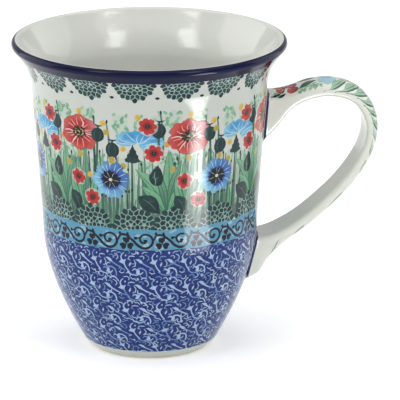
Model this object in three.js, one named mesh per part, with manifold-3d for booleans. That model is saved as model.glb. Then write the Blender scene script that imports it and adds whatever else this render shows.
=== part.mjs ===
// A footed stoneware mug: a flared cup with one strap handle, luted on with clay slip and coated in glaze.
// Millimetres, +Z up. The cup's axis is Z, it stands on z = 0, and the handle points along +X.
import * as THREE from "three";
import Module from "manifold-3d";
import { mergeVertices } from "three/addons/utils/BufferGeometryUtils.js";

// Outlines below are (radius, height) points of the finished, glazed surface.

// Foot: a recessed underside inside a ring whose flat bottom is bare clay.
const RECESS_HEIGHT = 2.2;
const RECESS_EDGE_RADIUS = 16.6;
const RING_INNER_RADIUS = 19.0;
const RECESS_CORNER_INSET = 0.4;
const RECESS_BARE_STRIP = 0.2;
const RING_OUTER_RADIUS = 22.4;
const BARE_FOOT_HEIGHT = 0.9;
const BARE_FOOT_SLOPE = 1.0;

// Outside of the cup: the foot band, rounded bowl, nearly straight wall and flare.
const FOOT_BAND_TOP = [25.4, 2.9];
const BOWL_TOP = [40.6, 46];
const WALL_TOP = [44.5, 101];
const LIP_CENTRE = [50.2, 117.6];
const LIP_RADIUS = 1.7;
const LIP_OUTER_ANGLE = -40;
const LIP_INNER_ANGLE = 150;

// Inside of the cup.
const WALL_THICKNESS = 3.9;
const FLOOR_HEIGHT = 7.2;

// Bezier handles that shape the curves between those points. A flare leaves the wall towards its handle
// and meets the lip along the lip's own tangent, over the reach.
const BOWL_HANDLES = [[30.5, 12], [39.8, 28.5]];
const WALL_HANDLES = [[41.4, 62], [43.3, 84]];
const FLARE_HANDLE = [44.8, 107.5];
const FLARE_REACH = 8;
const INNER_FLARE_HANDLE = [40.7, 107.5];
const INNER_FLARE_REACH = 6;
const INNER_WALL_HANDLES = [[39.4, 84], [37.5, 62]];
const INNER_BOWL_HANDLES = [[36, 24], [27, FLOOR_HEIGHT]];

// Glaze coats, and where the cobalt band starts and stops.
const COAT = 0.45;
const COAT_CLEARANCE = 0.05;
const BAND_START_ON_FLARE = 0.84;
const BAND_END_ANGLE = 80;

// Handle strap, and the slip pads that join it to the cup.
const STRAP_THICKNESS = 5.4;
const STRAP_WIDTH = 16.5;
const ROOT_EXTRA_WIDTH = 3.2;
const ROOT_SPAN = 0.14;
const SLIP_THICKNESS = 1.2;
const SLIP_MARGIN = 0.6;
const FIT_GAP = 0.3;

// The strap's cross-section, as shares of its thickness and of half its width: the flat inner face ends,
// its rounded corner ends, the straight side ends, and the crown's two handles.
const FLAT_WIDTH_SHARE = 0.78;
const CORNER_DEPTH_SHARE = 0.24;
const SIDE_DEPTH_SHARE = 0.42;
const CROWN_DEPTH_SHARE = 0.8;
const CROWN_WIDTH_SHARE = 0.7;

// The strap's side view, from the upper root to the lower one: [x, z] on its outer face, then on its
// inner face. The first and last stations lie inside the wall, which trims the strap.
const STRAP_STATIONS = [
  { outer: [38.0, 97.6], inner: [39.0, 77.5] },
  { outer: [46.5, 97.3], inner: [46.5, 83.9] },
  { outer: [53.5, 98.4], inner: [53.6, 92.0] },
  { outer: [61.5, 101.0], inner: [62.3, 95.7] },
  { outer: [71.0, 101.2], inner: [70.0, 95.9] },
  { outer: [80.0, 97.7], inner: [76.7, 93.4] },
  { outer: [85.6, 90.2], inner: [80.9, 87.6] },
  { outer: [86.8, 80.8], inner: [81.9, 80.8] },
  { outer: [83.3, 70.0], inner: [79.1, 72.2] },
  { outer: [74.4, 57.8], inner: [71.1, 61.3] },
  { outer: [61.5, 46.1], inner: [58.7, 50.2] },
  { outer: [51.0, 38.5], inner: [48.6, 44.1] },
  { outer: [44.6, 32.4], inner: [41.5, 41.9] },
  { outer: [40.4, 26.6], inner: [37.0, 42.0] },
  { outer: [32.0, 23.8], inner: [32.0, 43.0] },
];

// How finely each curve is cut into straight steps.
const TURN_SEGMENTS = 48;
const STRAP_STEPS = 56;
const SECTION_CURVE_STEPS = 4;
const RECESS_STEPS = 4;
const BOWL_STEPS = 7;
const WALL_STEPS = 4;
const FLARE_STEPS = 5;
const BAND_FLARE_STEPS = 2;
const BAND_ARC_STEPS = 5;
const LINER_ARC_STEPS = 3;
const INNER_BOWL_STEPS = 9;

const SAME_POINT = 1e-6;
const WELD_DISTANCE = 1e-4;

const wasm = await Module();
wasm.setup();

// ---- Solids ----

function toSolid(geometry) {
  const bare = geometry.clone();
  bare.deleteAttribute("normal");
  bare.deleteAttribute("uv");
  const merged = mergeVertices(bare, WELD_DISTANCE);
  const mesh = new wasm.Mesh({
    numProp: 3,
    vertProperties: merged.attributes.position.array,
    triVerts: new Uint32Array(merged.index.array),
  });
  return new wasm.Manifold(mesh);
}

function toGeometry(solid) {
  const mesh = solid.getMesh();
  const geometry = new THREE.BufferGeometry();
  geometry.setAttribute("position", new THREE.BufferAttribute(mesh.vertProperties, 3));
  geometry.setIndex(new THREE.BufferAttribute(mesh.triVerts, 1));
  const faceted = geometry.toNonIndexed();
  faceted.computeVertexNormals();
  return faceted;
}

// ---- Turned surfaces ----

function revolve(outline) {
  return new THREE.LatheGeometry(outline, TURN_SEGMENTS).rotateX(Math.PI / 2);
}

function point([radius, height]) {
  return new THREE.Vector2(radius, height);
}

function onLip(degrees) {
  const angle = THREE.MathUtils.degToRad(degrees);
  const spoke = new THREE.Vector2(Math.cos(angle), Math.sin(angle));
  return point(LIP_CENTRE).addScaledVector(spoke, LIP_RADIUS);
}

// The point a given distance along the lip's tangent; a negative distance lies before the lip.
function besideLip(degrees, distance) {
  const angle = THREE.MathUtils.degToRad(degrees);
  const tangent = new THREE.Vector2(-Math.sin(angle), Math.cos(angle));
  return onLip(degrees).addScaledVector(tangent, distance);
}

function bezier(start, first, second, end) {
  return new THREE.CubicBezierCurve(start, first, second, end);
}

function sample(curve, steps, from = 0, to = 1) {
  const points = [];
  for (let i = 0; i <= steps; i++) {
    points.push(curve.getPoint(from + ((to - from) * i) / steps));
  }
  return points;
}

// Joins runs of points, leaving out the repeated point where one run meets the next.
function join(...runs) {
  return runs.flat().filter((p, i, all) => i === 0 || p.distanceTo(all[i - 1]) > SAME_POINT);
}

// Moves each point of a run towards its left-hand side, which is the clay's side on every run here.
// The whole surface that the run belongs to gives the direction at the run's ends.
function inset(run, depth, whole = run) {
  return run.map((p) => {
    const i = whole.findIndex((q) => q.distanceTo(p) < SAME_POINT);
    const before = whole[Math.max(i - 1, 0)];
    const after = whole[Math.min(i + 1, whole.length - 1)];
    const along = after.clone().sub(before).normalize();
    const moved = new THREE.Vector2(p.x - along.y * depth, p.y + along.x * depth);
    return p.x === 0 ? new THREE.Vector2(0, p.y + depth * Math.sign(along.x)) : moved;
  });
}

function recessRun() {
  const edge = point([RECESS_EDGE_RADIUS, RECESS_HEIGHT]);
  const corner = point([RING_INNER_RADIUS - RECESS_CORNER_INSET, RECESS_HEIGHT]);
  const bareLine = point([RING_INNER_RADIUS - RECESS_BARE_STRIP, BARE_FOOT_HEIGHT]);
  const rounding = new THREE.QuadraticBezierCurve(edge, corner, bareLine);
  return join([point([0, RECESS_HEIGHT])], sample(rounding, RECESS_STEPS));
}

function footRingRun() {
  const inner = point([RING_INNER_RADIUS, 0]);
  const outer = point([RING_OUTER_RADIUS, 0]);
  const chamferTop = point([RING_OUTER_RADIUS + BARE_FOOT_SLOPE / 2, BARE_FOOT_HEIGHT / 3]);
  return [inner, outer, chamferTop];
}

const bowlCurve = bezier(point(FOOT_BAND_TOP), ...BOWL_HANDLES.map(point), point(BOWL_TOP));
const wallCurve = bezier(point(BOWL_TOP), ...WALL_HANDLES.map(point), point(WALL_TOP));
const flareCurve = bezier(
  point(WALL_TOP),
  point(FLARE_HANDLE),
  besideLip(LIP_OUTER_ANGLE, -FLARE_REACH),
  onLip(LIP_OUTER_ANGLE),
);

function outsideRun() {
  const bareLine = point([RING_OUTER_RADIUS + BARE_FOOT_SLOPE, BARE_FOOT_HEIGHT]);
  return join(
    [bareLine],
    sample(bowlCurve, BOWL_STEPS),
    sample(wallCurve, WALL_STEPS),
    sample(flareCurve, FLARE_STEPS, 0, BAND_START_ON_FLARE),
  );
}

function lipArc(fromDegrees, toDegrees, steps) {
  const arc = [];
  for (let i = 0; i <= steps; i++) {
    arc.push(onLip(fromDegrees + ((toDegrees - fromDegrees) * i) / steps));
  }
  return arc;
}

function bandRun() {
  return join(
    sample(flareCurve, BAND_FLARE_STEPS, BAND_START_ON_FLARE, 1),
    lipArc(LIP_OUTER_ANGLE, BAND_END_ANGLE, BAND_ARC_STEPS),
  );
}

function linerRun() {
  const wallTop = point([WALL_TOP[0] - WALL_THICKNESS, WALL_TOP[1]]);
  const bowlTop = point([BOWL_TOP[0] - WALL_THICKNESS, BOWL_TOP[1]]);
  const flare = bezier(
    onLip(LIP_INNER_ANGLE),
    besideLip(LIP_INNER_ANGLE, INNER_FLARE_REACH),
    point(INNER_FLARE_HANDLE),
    wallTop,
  );
  const wall = bezier(wallTop, ...INNER_WALL_HANDLES.map(point), bowlTop);
  const bowl = bezier(bowlTop, ...INNER_BOWL_HANDLES.map(point), point([0, FLOOR_HEIGHT]));
  return join(
    lipArc(BAND_END_ANGLE, LIP_INNER_ANGLE, LINER_ARC_STEPS),
    sample(flare, FLARE_STEPS),
    sample(wall, WALL_STEPS),
    sample(bowl, INNER_BOWL_STEPS),
  );
}

const recess = recessRun();
const outside = outsideRun();
const band = bandRun();
const liner = linerRun();
const cupSurface = join(outside, band, liner);

// A glaze coat under one run of a surface. Its outline closes on itself, or starts and ends on the axis.
function coat(run, whole) {
  const underside = inset(run, COAT, whole).reverse();
  if (run[0].x === 0) return revolve([...run, ...underside]);
  if (run[run.length - 1].x === 0) return revolve([...underside, ...run]);
  return revolve([...run, ...underside, run[0].clone()]);
}

function clayCup() {
  const buried = COAT + COAT_CLEARANCE;
  return revolve([...inset(recess, buried), ...footRingRun(), ...inset(cupSurface, buried)]);
}

// A solid filling the cup's outside, swollen by the given amount.
function cupFilling(swelling) {
  const side = inset(join(outside, band), -swelling);
  const low = point([0, side[0].y]);
  const high = point([0, side[side.length - 1].y]);
  return toSolid(revolve([low, ...side, high]));
}

// ---- Handle ----

// The strap's cross-section: x runs from 0 on the inner face to the thickness on the crowned outer face.
function strapSection() {
  const thick = STRAP_THICKNESS;
  const half = STRAP_WIDTH / 2;
  const flat = FLAT_WIDTH_SHARE * half;
  const corner = CORNER_DEPTH_SHARE * thick;
  const side = SIDE_DEPTH_SHARE * thick;
  const crownDepth = CROWN_DEPTH_SHARE * thick;
  const crownWidth = CROWN_WIDTH_SHARE * half;
  const section = new THREE.Shape();
  section.moveTo(0, -flat);
  section.lineTo(0, flat);
  section.quadraticCurveTo(0, half, corner, half);
  section.lineTo(side, half);
  section.bezierCurveTo(crownDepth, half, thick, crownWidth, thick, 0);
  section.bezierCurveTo(thick, -crownWidth, crownDepth, -half, side, -half);
  section.lineTo(corner, -half);
  section.quadraticCurveTo(0, -half, 0, -flat);
  return section;
}

function stationCurve(side) {
  return new THREE.SplineCurve(STRAP_STATIONS.map((station) => new THREE.Vector2(...station[side])));
}

// Extrudes the section straight, then carries it round the stations. The rounded edges keep their size
// where the strap thickens towards its roots. The extra grows it on every side.
function strapSolid(extra) {
  const geometry = new THREE.ExtrudeGeometry(strapSection(), {
    depth: 1,
    steps: STRAP_STEPS,
    bevelEnabled: false,
    curveSegments: SECTION_CURVE_STEPS,
  });
  const outerCurve = stationCurve("outer");
  const innerCurve = stationCurve("inner");
  const position = geometry.attributes.position;
  for (let i = 0; i < position.count; i++) {
    const along = position.getZ(i);
    const depth = position.getX(i);
    const outer = outerCurve.getPoint(along);
    const inner = innerCurve.getPoint(along);
    const across = outer.clone().sub(inner).normalize();
    const nearOuter = depth > STRAP_THICKNESS / 2;
    const base = nearOuter ? outer : inner;
    const shift = nearOuter ? depth - STRAP_THICKNESS + extra : depth - extra;
    const rootCloseness = Math.max(0, 1 - Math.min(along, 1 - along) / ROOT_SPAN);
    const width = STRAP_WIDTH + 2 * extra + ROOT_EXTRA_WIDTH * rootCloseness ** 2;
    position.setXYZ(
      i,
      base.x + across.x * shift,
      -position.getY(i) * (width / STRAP_WIDTH),
      base.y + across.y * shift,
    );
  }
  return toSolid(geometry);
}

function handle() {
  return strapSolid(0).subtract(cupFilling(SLIP_THICKNESS + FIT_GAP));
}

// The two slip pads, the upper one first.
function slipPads() {
  const shell = cupFilling(SLIP_THICKNESS).subtract(cupFilling(FIT_GAP - COAT - COAT_CLEARANCE));
  const pads = strapSolid(SLIP_MARGIN).intersect(shell).decompose();
  return pads.sort((a, b) => b.boundingBox().max[2] - a.boundingBox().max[2]);
}

// The outside coat stops short of the slip pads all round.
function outerGlaze() {
  return toSolid(coat(outside, cupSurface)).subtract(strapSolid(SLIP_MARGIN + FIT_GAP));
}

// ---- Assembly ----

const CLAY = { color: 0xd9d2c3, roughness: 0.85, metalness: 0 };
const WHITE_GLAZE = { color: 0xe6e4db, roughness: 0.14, metalness: 0 };
const PAINTED_GLAZE = { color: 0x8fa3b8, roughness: 0.14, metalness: 0 };
const COBALT_GLAZE = { color: 0x1d2447, roughness: 0.12, metalness: 0 };
const SLIP = { color: 0x3a4a86, roughness: 0.2, metalness: 0 };

const mug = new THREE.Group();
mug.name = "footed_stoneware_mug";

function addNode(name, geometry, material) {
  const mesh = new THREE.Mesh(geometry, new THREE.MeshStandardMaterial(material));
  mesh.name = name;
  mug.add(mesh);
}

const [upperPad, lowerPad] = slipPads();
addNode("cup_body", clayCup(), CLAY);
addNode("handle", toGeometry(handle()), WHITE_GLAZE);
addNode("upper_slip_joint", toGeometry(upperPad), SLIP);
addNode("lower_slip_joint", toGeometry(lowerPad), SLIP);
addNode("liner_glaze", coat(liner, cupSurface), WHITE_GLAZE);
addNode("outer_glaze", toGeometry(outerGlaze()), PAINTED_GLAZE);
addNode("rim_band", coat(band, cupSurface), COBALT_GLAZE);
addNode("base_glaze", coat(recess, recess), WHITE_GLAZE);

export default mug;
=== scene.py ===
"""A footed stoneware mug with hand-painted decoration under a clear glaze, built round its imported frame.

Outlines, paint and placing are worked out in millimetres and turned into metres when a mesh is made.
The cup's axis is Z, it stands on z = 0, and the handle points along +X, all as in the frame.
"""
import math
import random

import bpy
import numpy as np
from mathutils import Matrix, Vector
from mathutils.geometry import delaunay_2d_cdt


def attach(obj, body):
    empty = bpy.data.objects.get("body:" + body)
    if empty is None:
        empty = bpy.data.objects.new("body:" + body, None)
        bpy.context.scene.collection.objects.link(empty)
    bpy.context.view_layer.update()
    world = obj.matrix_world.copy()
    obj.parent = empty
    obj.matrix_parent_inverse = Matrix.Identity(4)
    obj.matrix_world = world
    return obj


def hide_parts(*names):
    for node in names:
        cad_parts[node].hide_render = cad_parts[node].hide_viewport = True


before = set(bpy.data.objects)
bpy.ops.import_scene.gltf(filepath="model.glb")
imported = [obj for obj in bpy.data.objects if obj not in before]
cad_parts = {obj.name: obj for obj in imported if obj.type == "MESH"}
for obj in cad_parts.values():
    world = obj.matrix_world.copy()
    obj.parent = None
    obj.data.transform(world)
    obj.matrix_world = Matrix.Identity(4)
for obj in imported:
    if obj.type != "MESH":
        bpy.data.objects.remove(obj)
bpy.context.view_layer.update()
MM = 0.001
TINY = 1e-6


# ---- Camera ----

CAMERA_AZIMUTH = math.radians(-7.0)
CAMERA_ELEVATION = math.radians(16.3)
CAMERA_DISTANCE = 1.4
CAMERA_LENS = 331.6
SENSOR_WIDTH = 36
AIM_RIGHT = 0.0190
AIM_HEIGHT = 0.0558


def make_camera():
    back = Vector((
        math.sin(CAMERA_AZIMUTH) * math.cos(CAMERA_ELEVATION),
        -math.cos(CAMERA_AZIMUTH) * math.cos(CAMERA_ELEVATION),
        math.sin(CAMERA_ELEVATION),
    ))
    right = Vector((math.cos(CAMERA_AZIMUTH), math.sin(CAMERA_AZIMUTH), 0))
    aim = right * AIM_RIGHT + Vector((0, 0, AIM_HEIGHT))
    data = bpy.data.cameras.new("camera")
    data.lens = CAMERA_LENS
    data.sensor_width = SENSOR_WIDTH
    data.clip_start = 0.05
    data.clip_end = 20
    camera = bpy.data.objects.new("camera", data)
    camera.location = aim + back * CAMERA_DISTANCE
    camera.rotation_mode = "QUATERNION"
    camera.rotation_quaternion = (-back).to_track_quat("-Z", "Y")
    bpy.context.scene.collection.objects.link(camera)
    bpy.context.scene.camera = camera


make_camera()


# ---- Curves ----

def bezier(controls, count, start=0.0, end=1.0):
    """Points along a Bezier curve with any number of control points."""
    t = np.linspace(start, end, count)[:, None]
    layer = [np.array(c, float)[None, :] * np.ones_like(t) for c in controls]
    while len(layer) > 1:
        layer = [a * (1 - t) + b * t for a, b in zip(layer, layer[1:])]
    return layer[0]


def spline_at(points, t):
    """Points on a Catmull-Rom curve; t runs from 0 to 1 with equal steps between the given points."""
    p = np.array(points, float)
    last = len(p) - 1
    place = np.clip(np.asarray(t, float), 0, 1) * last
    index = np.minimum(np.floor(place).astype(int), last)
    w = (place - index)[..., None]
    before = p[np.maximum(index - 1, 0)]
    here = p[index]
    after = p[np.minimum(index + 1, last)]
    beyond = p[np.minimum(index + 2, last)]
    leave = (after - before) / 2
    arrive = (beyond - here) / 2
    cubic = 2 * here - 2 * after + leave + arrive
    square = -3 * here + 3 * after - 2 * leave - arrive
    return cubic * w ** 3 + square * w ** 2 + leave * w + here


def smooth(points, steps=3):
    """A Catmull-Rom curve through the points, with that many steps between two of them."""
    return spline_at(points, np.linspace(0, 1, (len(points) - 1) * steps + 1))


def unit(vectors):
    return vectors / np.maximum(np.linalg.norm(vectors, axis=-1, keepdims=True), 1e-12)


class Profile:
    """A turned outline of (radius, height) points, read by the distance along it."""

    SLOPE_REACH = 0.35

    def __init__(self, points):
        self.points = np.array(points, float)
        steps = np.linalg.norm(np.diff(self.points, axis=0), axis=1)
        self.along = np.concatenate([[0], np.cumsum(steps)])
        self.length = float(self.along[-1])

    def radius(self, distance):
        return np.interp(distance, self.along, self.points[:, 0])

    def height(self, distance):
        return np.interp(distance, self.along, self.points[:, 1])

    def at_height(self, height):
        """The distance along an outline that rises all the way."""
        return float(np.interp(height, self.points[:, 1], self.along))

    def outward(self, distance):
        """The (radius, height) direction out of the surface, for an outline that runs up the outside."""
        low = np.clip(distance - self.SLOPE_REACH, 0, self.length)
        high = np.clip(distance + self.SLOPE_REACH, 0, self.length)
        rise = self.height(high) - self.height(low)
        spread = self.radius(high) - self.radius(low)
        return unit(np.stack([rise, -spread], -1))


# ---- The turned cup, as in the frame ----

BARE_LINE = (23.4, 0.9)
FOOT_BAND_TOP = (25.4, 2.9)
BOWL_TOP = (40.6, 46)
WALL_TOP = (44.5, 101)
LIP_CENTRE = np.array([50.2, 117.6])
LIP_RADIUS = 1.66
LIP_OUTER_ANGLE = -40
LIP_INNER_ANGLE = 150
BAND_START_ON_FLARE = 0.84
BAND_END_ANGLE = 80
WALL_THICKNESS = 3.9
FLOOR_HEIGHT = 7.2
COAT = 0.45
COAT_CLEARANCE = 0.05
RECESS_HEIGHT = 2.2
RECESS_EDGE_RADIUS = 16.6
RECESS_CORNER = (18.6, RECESS_HEIGHT)
RECESS_FOOT = (18.8, 0.9)
RING_INNER_RADIUS = 19.0
RING_OUTER_RADIUS = 22.4
RING_BEVEL = 0.25


def on_lip(degrees):
    angle = math.radians(degrees)
    return LIP_CENTRE + LIP_RADIUS * np.array([math.cos(angle), math.sin(angle)])


def beside_lip(degrees, distance):
    angle = math.radians(degrees)
    return on_lip(degrees) + distance * np.array([-math.sin(angle), math.cos(angle)])


def lip_arc(start, end, count):
    return np.array([on_lip(angle) for angle in np.linspace(start, end, count)])


def join(*runs):
    points = np.vstack(runs)
    gaps = np.linalg.norm(np.diff(points, axis=0), axis=1)
    return points[np.concatenate([[True], gaps > TINY])]


BOWL_CONTROLS = [FOOT_BAND_TOP, (30.5, 12), (39.8, 28.5), BOWL_TOP]
WALL_CONTROLS = [BOWL_TOP, (41.4, 62), (43.3, 84), WALL_TOP]
FLARE_CONTROLS = [WALL_TOP, (44.8, 107.5), beside_lip(LIP_OUTER_ANGLE, -8), on_lip(LIP_OUTER_ANGLE)]
INNER_WALL_TOP = (WALL_TOP[0] - WALL_THICKNESS, WALL_TOP[1])
INNER_BOWL_TOP = (BOWL_TOP[0] - WALL_THICKNESS, BOWL_TOP[1])
INNER_FLARE_CONTROLS = [
    on_lip(LIP_INNER_ANGLE), beside_lip(LIP_INNER_ANGLE, 6), (40.7, 107.5), INNER_WALL_TOP,
]
INNER_WALL_CONTROLS = [INNER_WALL_TOP, (39.4, 84), (37.5, 62), INNER_BOWL_TOP]
INNER_BOWL_CONTROLS = [INNER_BOWL_TOP, (36, 24), (27, FLOOR_HEIGHT), (0, FLOOR_HEIGHT)]

outside_run = join(
    bezier([BARE_LINE, FOOT_BAND_TOP], 8),
    bezier(BOWL_CONTROLS, 80),
    bezier(WALL_CONTROLS, 50),
    bezier(FLARE_CONTROLS, 30, 0, BAND_START_ON_FLARE),
)
band_run = join(
    bezier(FLARE_CONTROLS, 7, BAND_START_ON_FLARE, 1),
    lip_arc(LIP_OUTER_ANGLE, BAND_END_ANGLE, 25),
)
liner_run = join(
    lip_arc(BAND_END_ANGLE, LIP_INNER_ANGLE, 15),
    bezier(INNER_FLARE_CONTROLS, 26),
    bezier(INNER_WALL_CONTROLS, 26),
    bezier(INNER_BOWL_CONTROLS, 50),
)
recess_run = join(
    bezier([(0, RECESS_HEIGHT), (RECESS_EDGE_RADIUS, RECESS_HEIGHT)], 10),
    bezier([(RECESS_EDGE_RADIUS, RECESS_HEIGHT), RECESS_CORNER, RECESS_FOOT], 12),
)
outside = Profile(outside_run)


def inset(run, depth, whole):
    """Moves each point of a run into the clay, which is to the left of the whole outline's direction."""
    moved = []
    for p in run:
        i = int(np.argmin(np.linalg.norm(whole - p, axis=1)))
        before = whole[max(i - 1, 0)]
        after = whole[min(i + 1, len(whole) - 1)]
        along = unit(after - before)
        if p[0] < TINY:
            moved.append((0.0, p[1] + depth * np.sign(along[0])))
        else:
            moved.append((p[0] - along[1] * depth, p[1] + along[0] * depth))
    return np.array(moved)


# ---- Mesh making ----

def new_piece(name, vertices, faces, material, replaced, normals=None):
    """Makes a piece from millimetre vertices, rides it on the mug's one body and hides the imported parts
    that it replaces.
    """
    mesh = bpy.data.meshes.new(name)
    mesh.from_pydata((np.asarray(vertices) * MM).tolist(), [], faces)
    mesh.polygons.foreach_set("use_smooth", [True] * len(mesh.polygons))
    mesh.update()
    if normals is not None:
        mesh.normals_split_custom_set_from_vertices(np.asarray(normals).tolist())
    mesh.materials.append(material)
    piece = bpy.data.objects.new(name, mesh)
    bpy.context.scene.collection.objects.link(piece)
    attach(piece, "root")
    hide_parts(*replaced)
    return piece


TURN_STEPS = 192
SHARP_ANGLE = math.radians(40)


def ring_points(outline):
    """Each outline point turned round the axis."""
    angle = np.linspace(0, 2 * math.pi, TURN_STEPS, endpoint=False)
    radius = outline[:, 0][:, None]
    height = outline[:, 1][:, None]
    x = radius * np.cos(angle)
    y = radius * np.sin(angle)
    z = height * np.ones_like(x)
    return np.stack([x, y, z], -1)


def turned_piece(name, outline, material, replaced):
    """A closed solid turned from an outline. Ends on the axis become single points; otherwise the outline
    closes on itself."""
    outline = np.array(outline, float)
    on_axis = outline[0][0] < TINY and outline[-1][0] < TINY
    rows = outline[1:-1] if on_axis else outline
    grid = ring_points(rows)
    count = len(rows)
    vertices = grid.reshape(-1, 3).tolist()
    faces = []
    for i in range(count - 1 if on_axis else count):
        low = i * TURN_STEPS
        high = ((i + 1) % count) * TURN_STEPS
        for j in range(TURN_STEPS):
            k = (j + 1) % TURN_STEPS
            faces.append((low + j, low + k, high + k, high + j))
    if on_axis:
        first = len(vertices)
        vertices.append((0, 0, outline[0][1]))
        vertices.append((0, 0, outline[-1][1]))
        top = (count - 1) * TURN_STEPS
        for j in range(TURN_STEPS):
            k = (j + 1) % TURN_STEPS
            faces.append((first, k, j))
            faces.append((first + 1, top + j, top + k))
    piece = new_piece(name, vertices, faces, material, replaced)
    piece.data.set_sharp_from_angle(angle=SHARP_ANGLE)


# ---- Painting kit ----

def rgb(red, green, blue):
    """A linear colour from the usual 0 to 255 values."""
    values = np.array([red, green, blue]) / 255
    return np.where(values <= 0.04045, values / 12.92, ((values + 0.055) / 1.055) ** 2.4)


class Fade:
    """A colour that changes from one point to another."""

    def __init__(self, first, second, start, end):
        self.first = first
        self.second = second
        self.start = np.array(start, float)
        self.end = np.array(end, float)

    def moved(self, place):
        points = place(np.array([self.start, self.end]))
        return Fade(self.first, self.second, points[0], points[1])

    def at(self, points):
        way = self.end - self.start
        t = np.clip((points - self.start) @ way / (way @ way), 0, 1)[:, None]
        return self.first * (1 - t) + self.second * t


INSIDE_ONLY = 1
MERGE_DISTANCE = 1e-5


def split_sheet(vertices, outlines):
    """Splits the first outline, the sheet, into triangles along all the others. Returns the points, the
    triangles, and for each triangle the numbers of the outlines that it lies in. A sliver on the sheet's
    edge may lie in none."""
    made = delaunay_2d_cdt(vertices, [], outlines, INSIDE_ONLY, MERGE_DISTANCE, True)
    points, faces, owners = made[0], made[2], made[5]
    kept = [i for i, face in enumerate(faces) if len(face) == 3]
    spots = np.array([tuple(p) for p in points])
    return spots, np.array([faces[i] for i in kept]), [owners[i] for i in kept]


class Painting:
    """Flat shapes, one over another, on a surface unrolled to a sheet of width u and height v.
    The sheet's left and right edges meet. Ink is how much pigment lies under the glaze, from 0 to 1."""

    def __init__(self, width, height, ground):
        self.width = width
        self.height = height
        self.ground = ground
        self.shapes = []

    def add(self, outline, colour, cover=1.0, ink=1.0):
        outline = np.asarray(outline, float)
        after = np.roll(outline, -1, axis=0)
        if np.sum(outline[:, 0] * after[:, 1] - after[:, 0] * outline[:, 1]) < 0:
            outline = outline[::-1]
        self.shapes.append((outline, colour, cover, ink))

    def wrapped_shapes(self):
        """Each shape, with a copy one turn away where it crosses the seam."""
        for outline, colour, cover, ink in self.shapes:
            full_turn = outline[:, 0].max() - outline[:, 0].min() > self.width
            for turn in (-1, 0, 1):
                shift = np.array([turn * self.width, 0])
                moved = outline + shift
                crosses = moved[:, 0].max() > 0 and moved[:, 0].min() < self.width
                if not crosses or (full_turn and turn):
                    continue
                shifted = colour
                if isinstance(colour, Fade):
                    shifted = Fade(colour.first, colour.second, colour.start + shift, colour.end + shift)
                yield moved, shifted, cover, ink

    def triangulate(self, spacing_u, spacing_v):
        """Splits the sheet along every shape's outline. Returns the points, the triangles, and the colour
        and ink at each triangle's corners."""
        columns = max(3, round(self.width / spacing_u))
        rows = max(1, round(self.height / spacing_v))
        us = np.linspace(0, self.width, columns + 1)
        vs = np.linspace(0, self.height, rows + 1)
        edge = [(u, 0) for u in us]
        edge += [(self.width, v) for v in vs[1:]]
        edge += [(u, self.height) for u in us[-2::-1]]
        edge += [(0, v) for v in vs[-2:0:-1]]
        vertices = [Vector(p) for p in edge]
        outlines = [list(range(len(edge)))]
        vertices += [Vector((u, v)) for u in us[1:-1] for v in vs[1:-1]]
        shapes = list(self.wrapped_shapes())
        for outline, _, _, _ in shapes:
            start = len(vertices)
            vertices += [Vector(p) for p in outline]
            outlines.append(list(range(start, len(vertices))))
        points, triangles, owners = split_sheet(vertices, outlines)
        on_sheet = [i for i, numbers in enumerate(owners) if 0 in numbers]
        triangles = triangles[on_sheet]
        corners = points[triangles].reshape(-1, 2)
        colour = np.tile(self.ground, (len(corners), 1)).astype(float)
        ink = np.zeros(len(corners))
        members = [[] for _ in shapes]
        for row, i in enumerate(on_sheet):
            for number in owners[i]:
                if number:
                    members[number - 1].append(row)
        for (outline, paint, cover, amount), rows_in in zip(shapes, members):
            if not rows_in:
                continue
            index = (np.array(rows_in)[:, None] * 3 + np.arange(3)).ravel()
            fresh = paint.at(corners[index]) if isinstance(paint, Fade) else paint
            colour[index] = colour[index] * (1 - cover) + fresh * cover
            ink[index] = ink[index] * (1 - cover) + amount * cover
        return points, triangles, colour, ink


class Brush:
    """Draws from one spot of a painting, with x across and y up, in millimetres on the real surface."""

    def __init__(self, painting, u, v, stretch=1.0, turn=0.0, scale=1.0, mirror=1):
        self.painting = painting
        self.u = u
        self.v = v
        self.stretch = stretch
        self.turn = turn
        self.scale = scale
        self.mirror = mirror

    def place(self, points):
        points = np.asarray(points, float) * self.scale
        x = points[:, 0] * self.mirror
        y = points[:, 1]
        c = math.cos(self.turn)
        s = math.sin(self.turn)
        return np.stack([self.u + (x * c - y * s) * self.stretch, self.v + x * s + y * c], -1)

    def at(self, x, y, turn=0.0, scale=1.0, mirror=1):
        """A brush at a spot of this one's own."""
        spot = self.place([(x, y)])[0]
        whole_turn = self.turn + math.radians(turn) * self.mirror
        return Brush(self.painting, spot[0], spot[1], self.stretch, whole_turn,
                     self.scale * scale, self.mirror * mirror)

    def fill(self, points, colour, cover=1.0, ink=1.0):
        if isinstance(colour, Fade):
            colour = colour.moved(self.place)
        self.painting.add(self.place(points), colour, cover, ink)

    def stroke(self, points, widths, colour, cover=1.0, ink=1.0, steps=3):
        self.fill(ribbon(points, widths, steps), colour, cover, ink)


END_BULGE = 0.45


def ribbon(points, widths, steps=3):
    """The outline of a stroke through the points, as wide as the widths spread evenly along it."""
    line = smooth(points, steps)
    places = np.linspace(0, 1, len(line))
    width = np.interp(places, np.linspace(0, 1, len(widths)), widths)
    along = unit(np.gradient(line, axis=0))
    side = np.stack([-along[:, 1], along[:, 0]], -1) * (width / 2)[:, None]
    start = line[0] - along[0] * width[0] * END_BULGE
    end = line[-1] + along[-1] * width[-1] * END_BULGE
    return np.vstack([start[None], line + side, end[None], (line - side)[::-1]])


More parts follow.
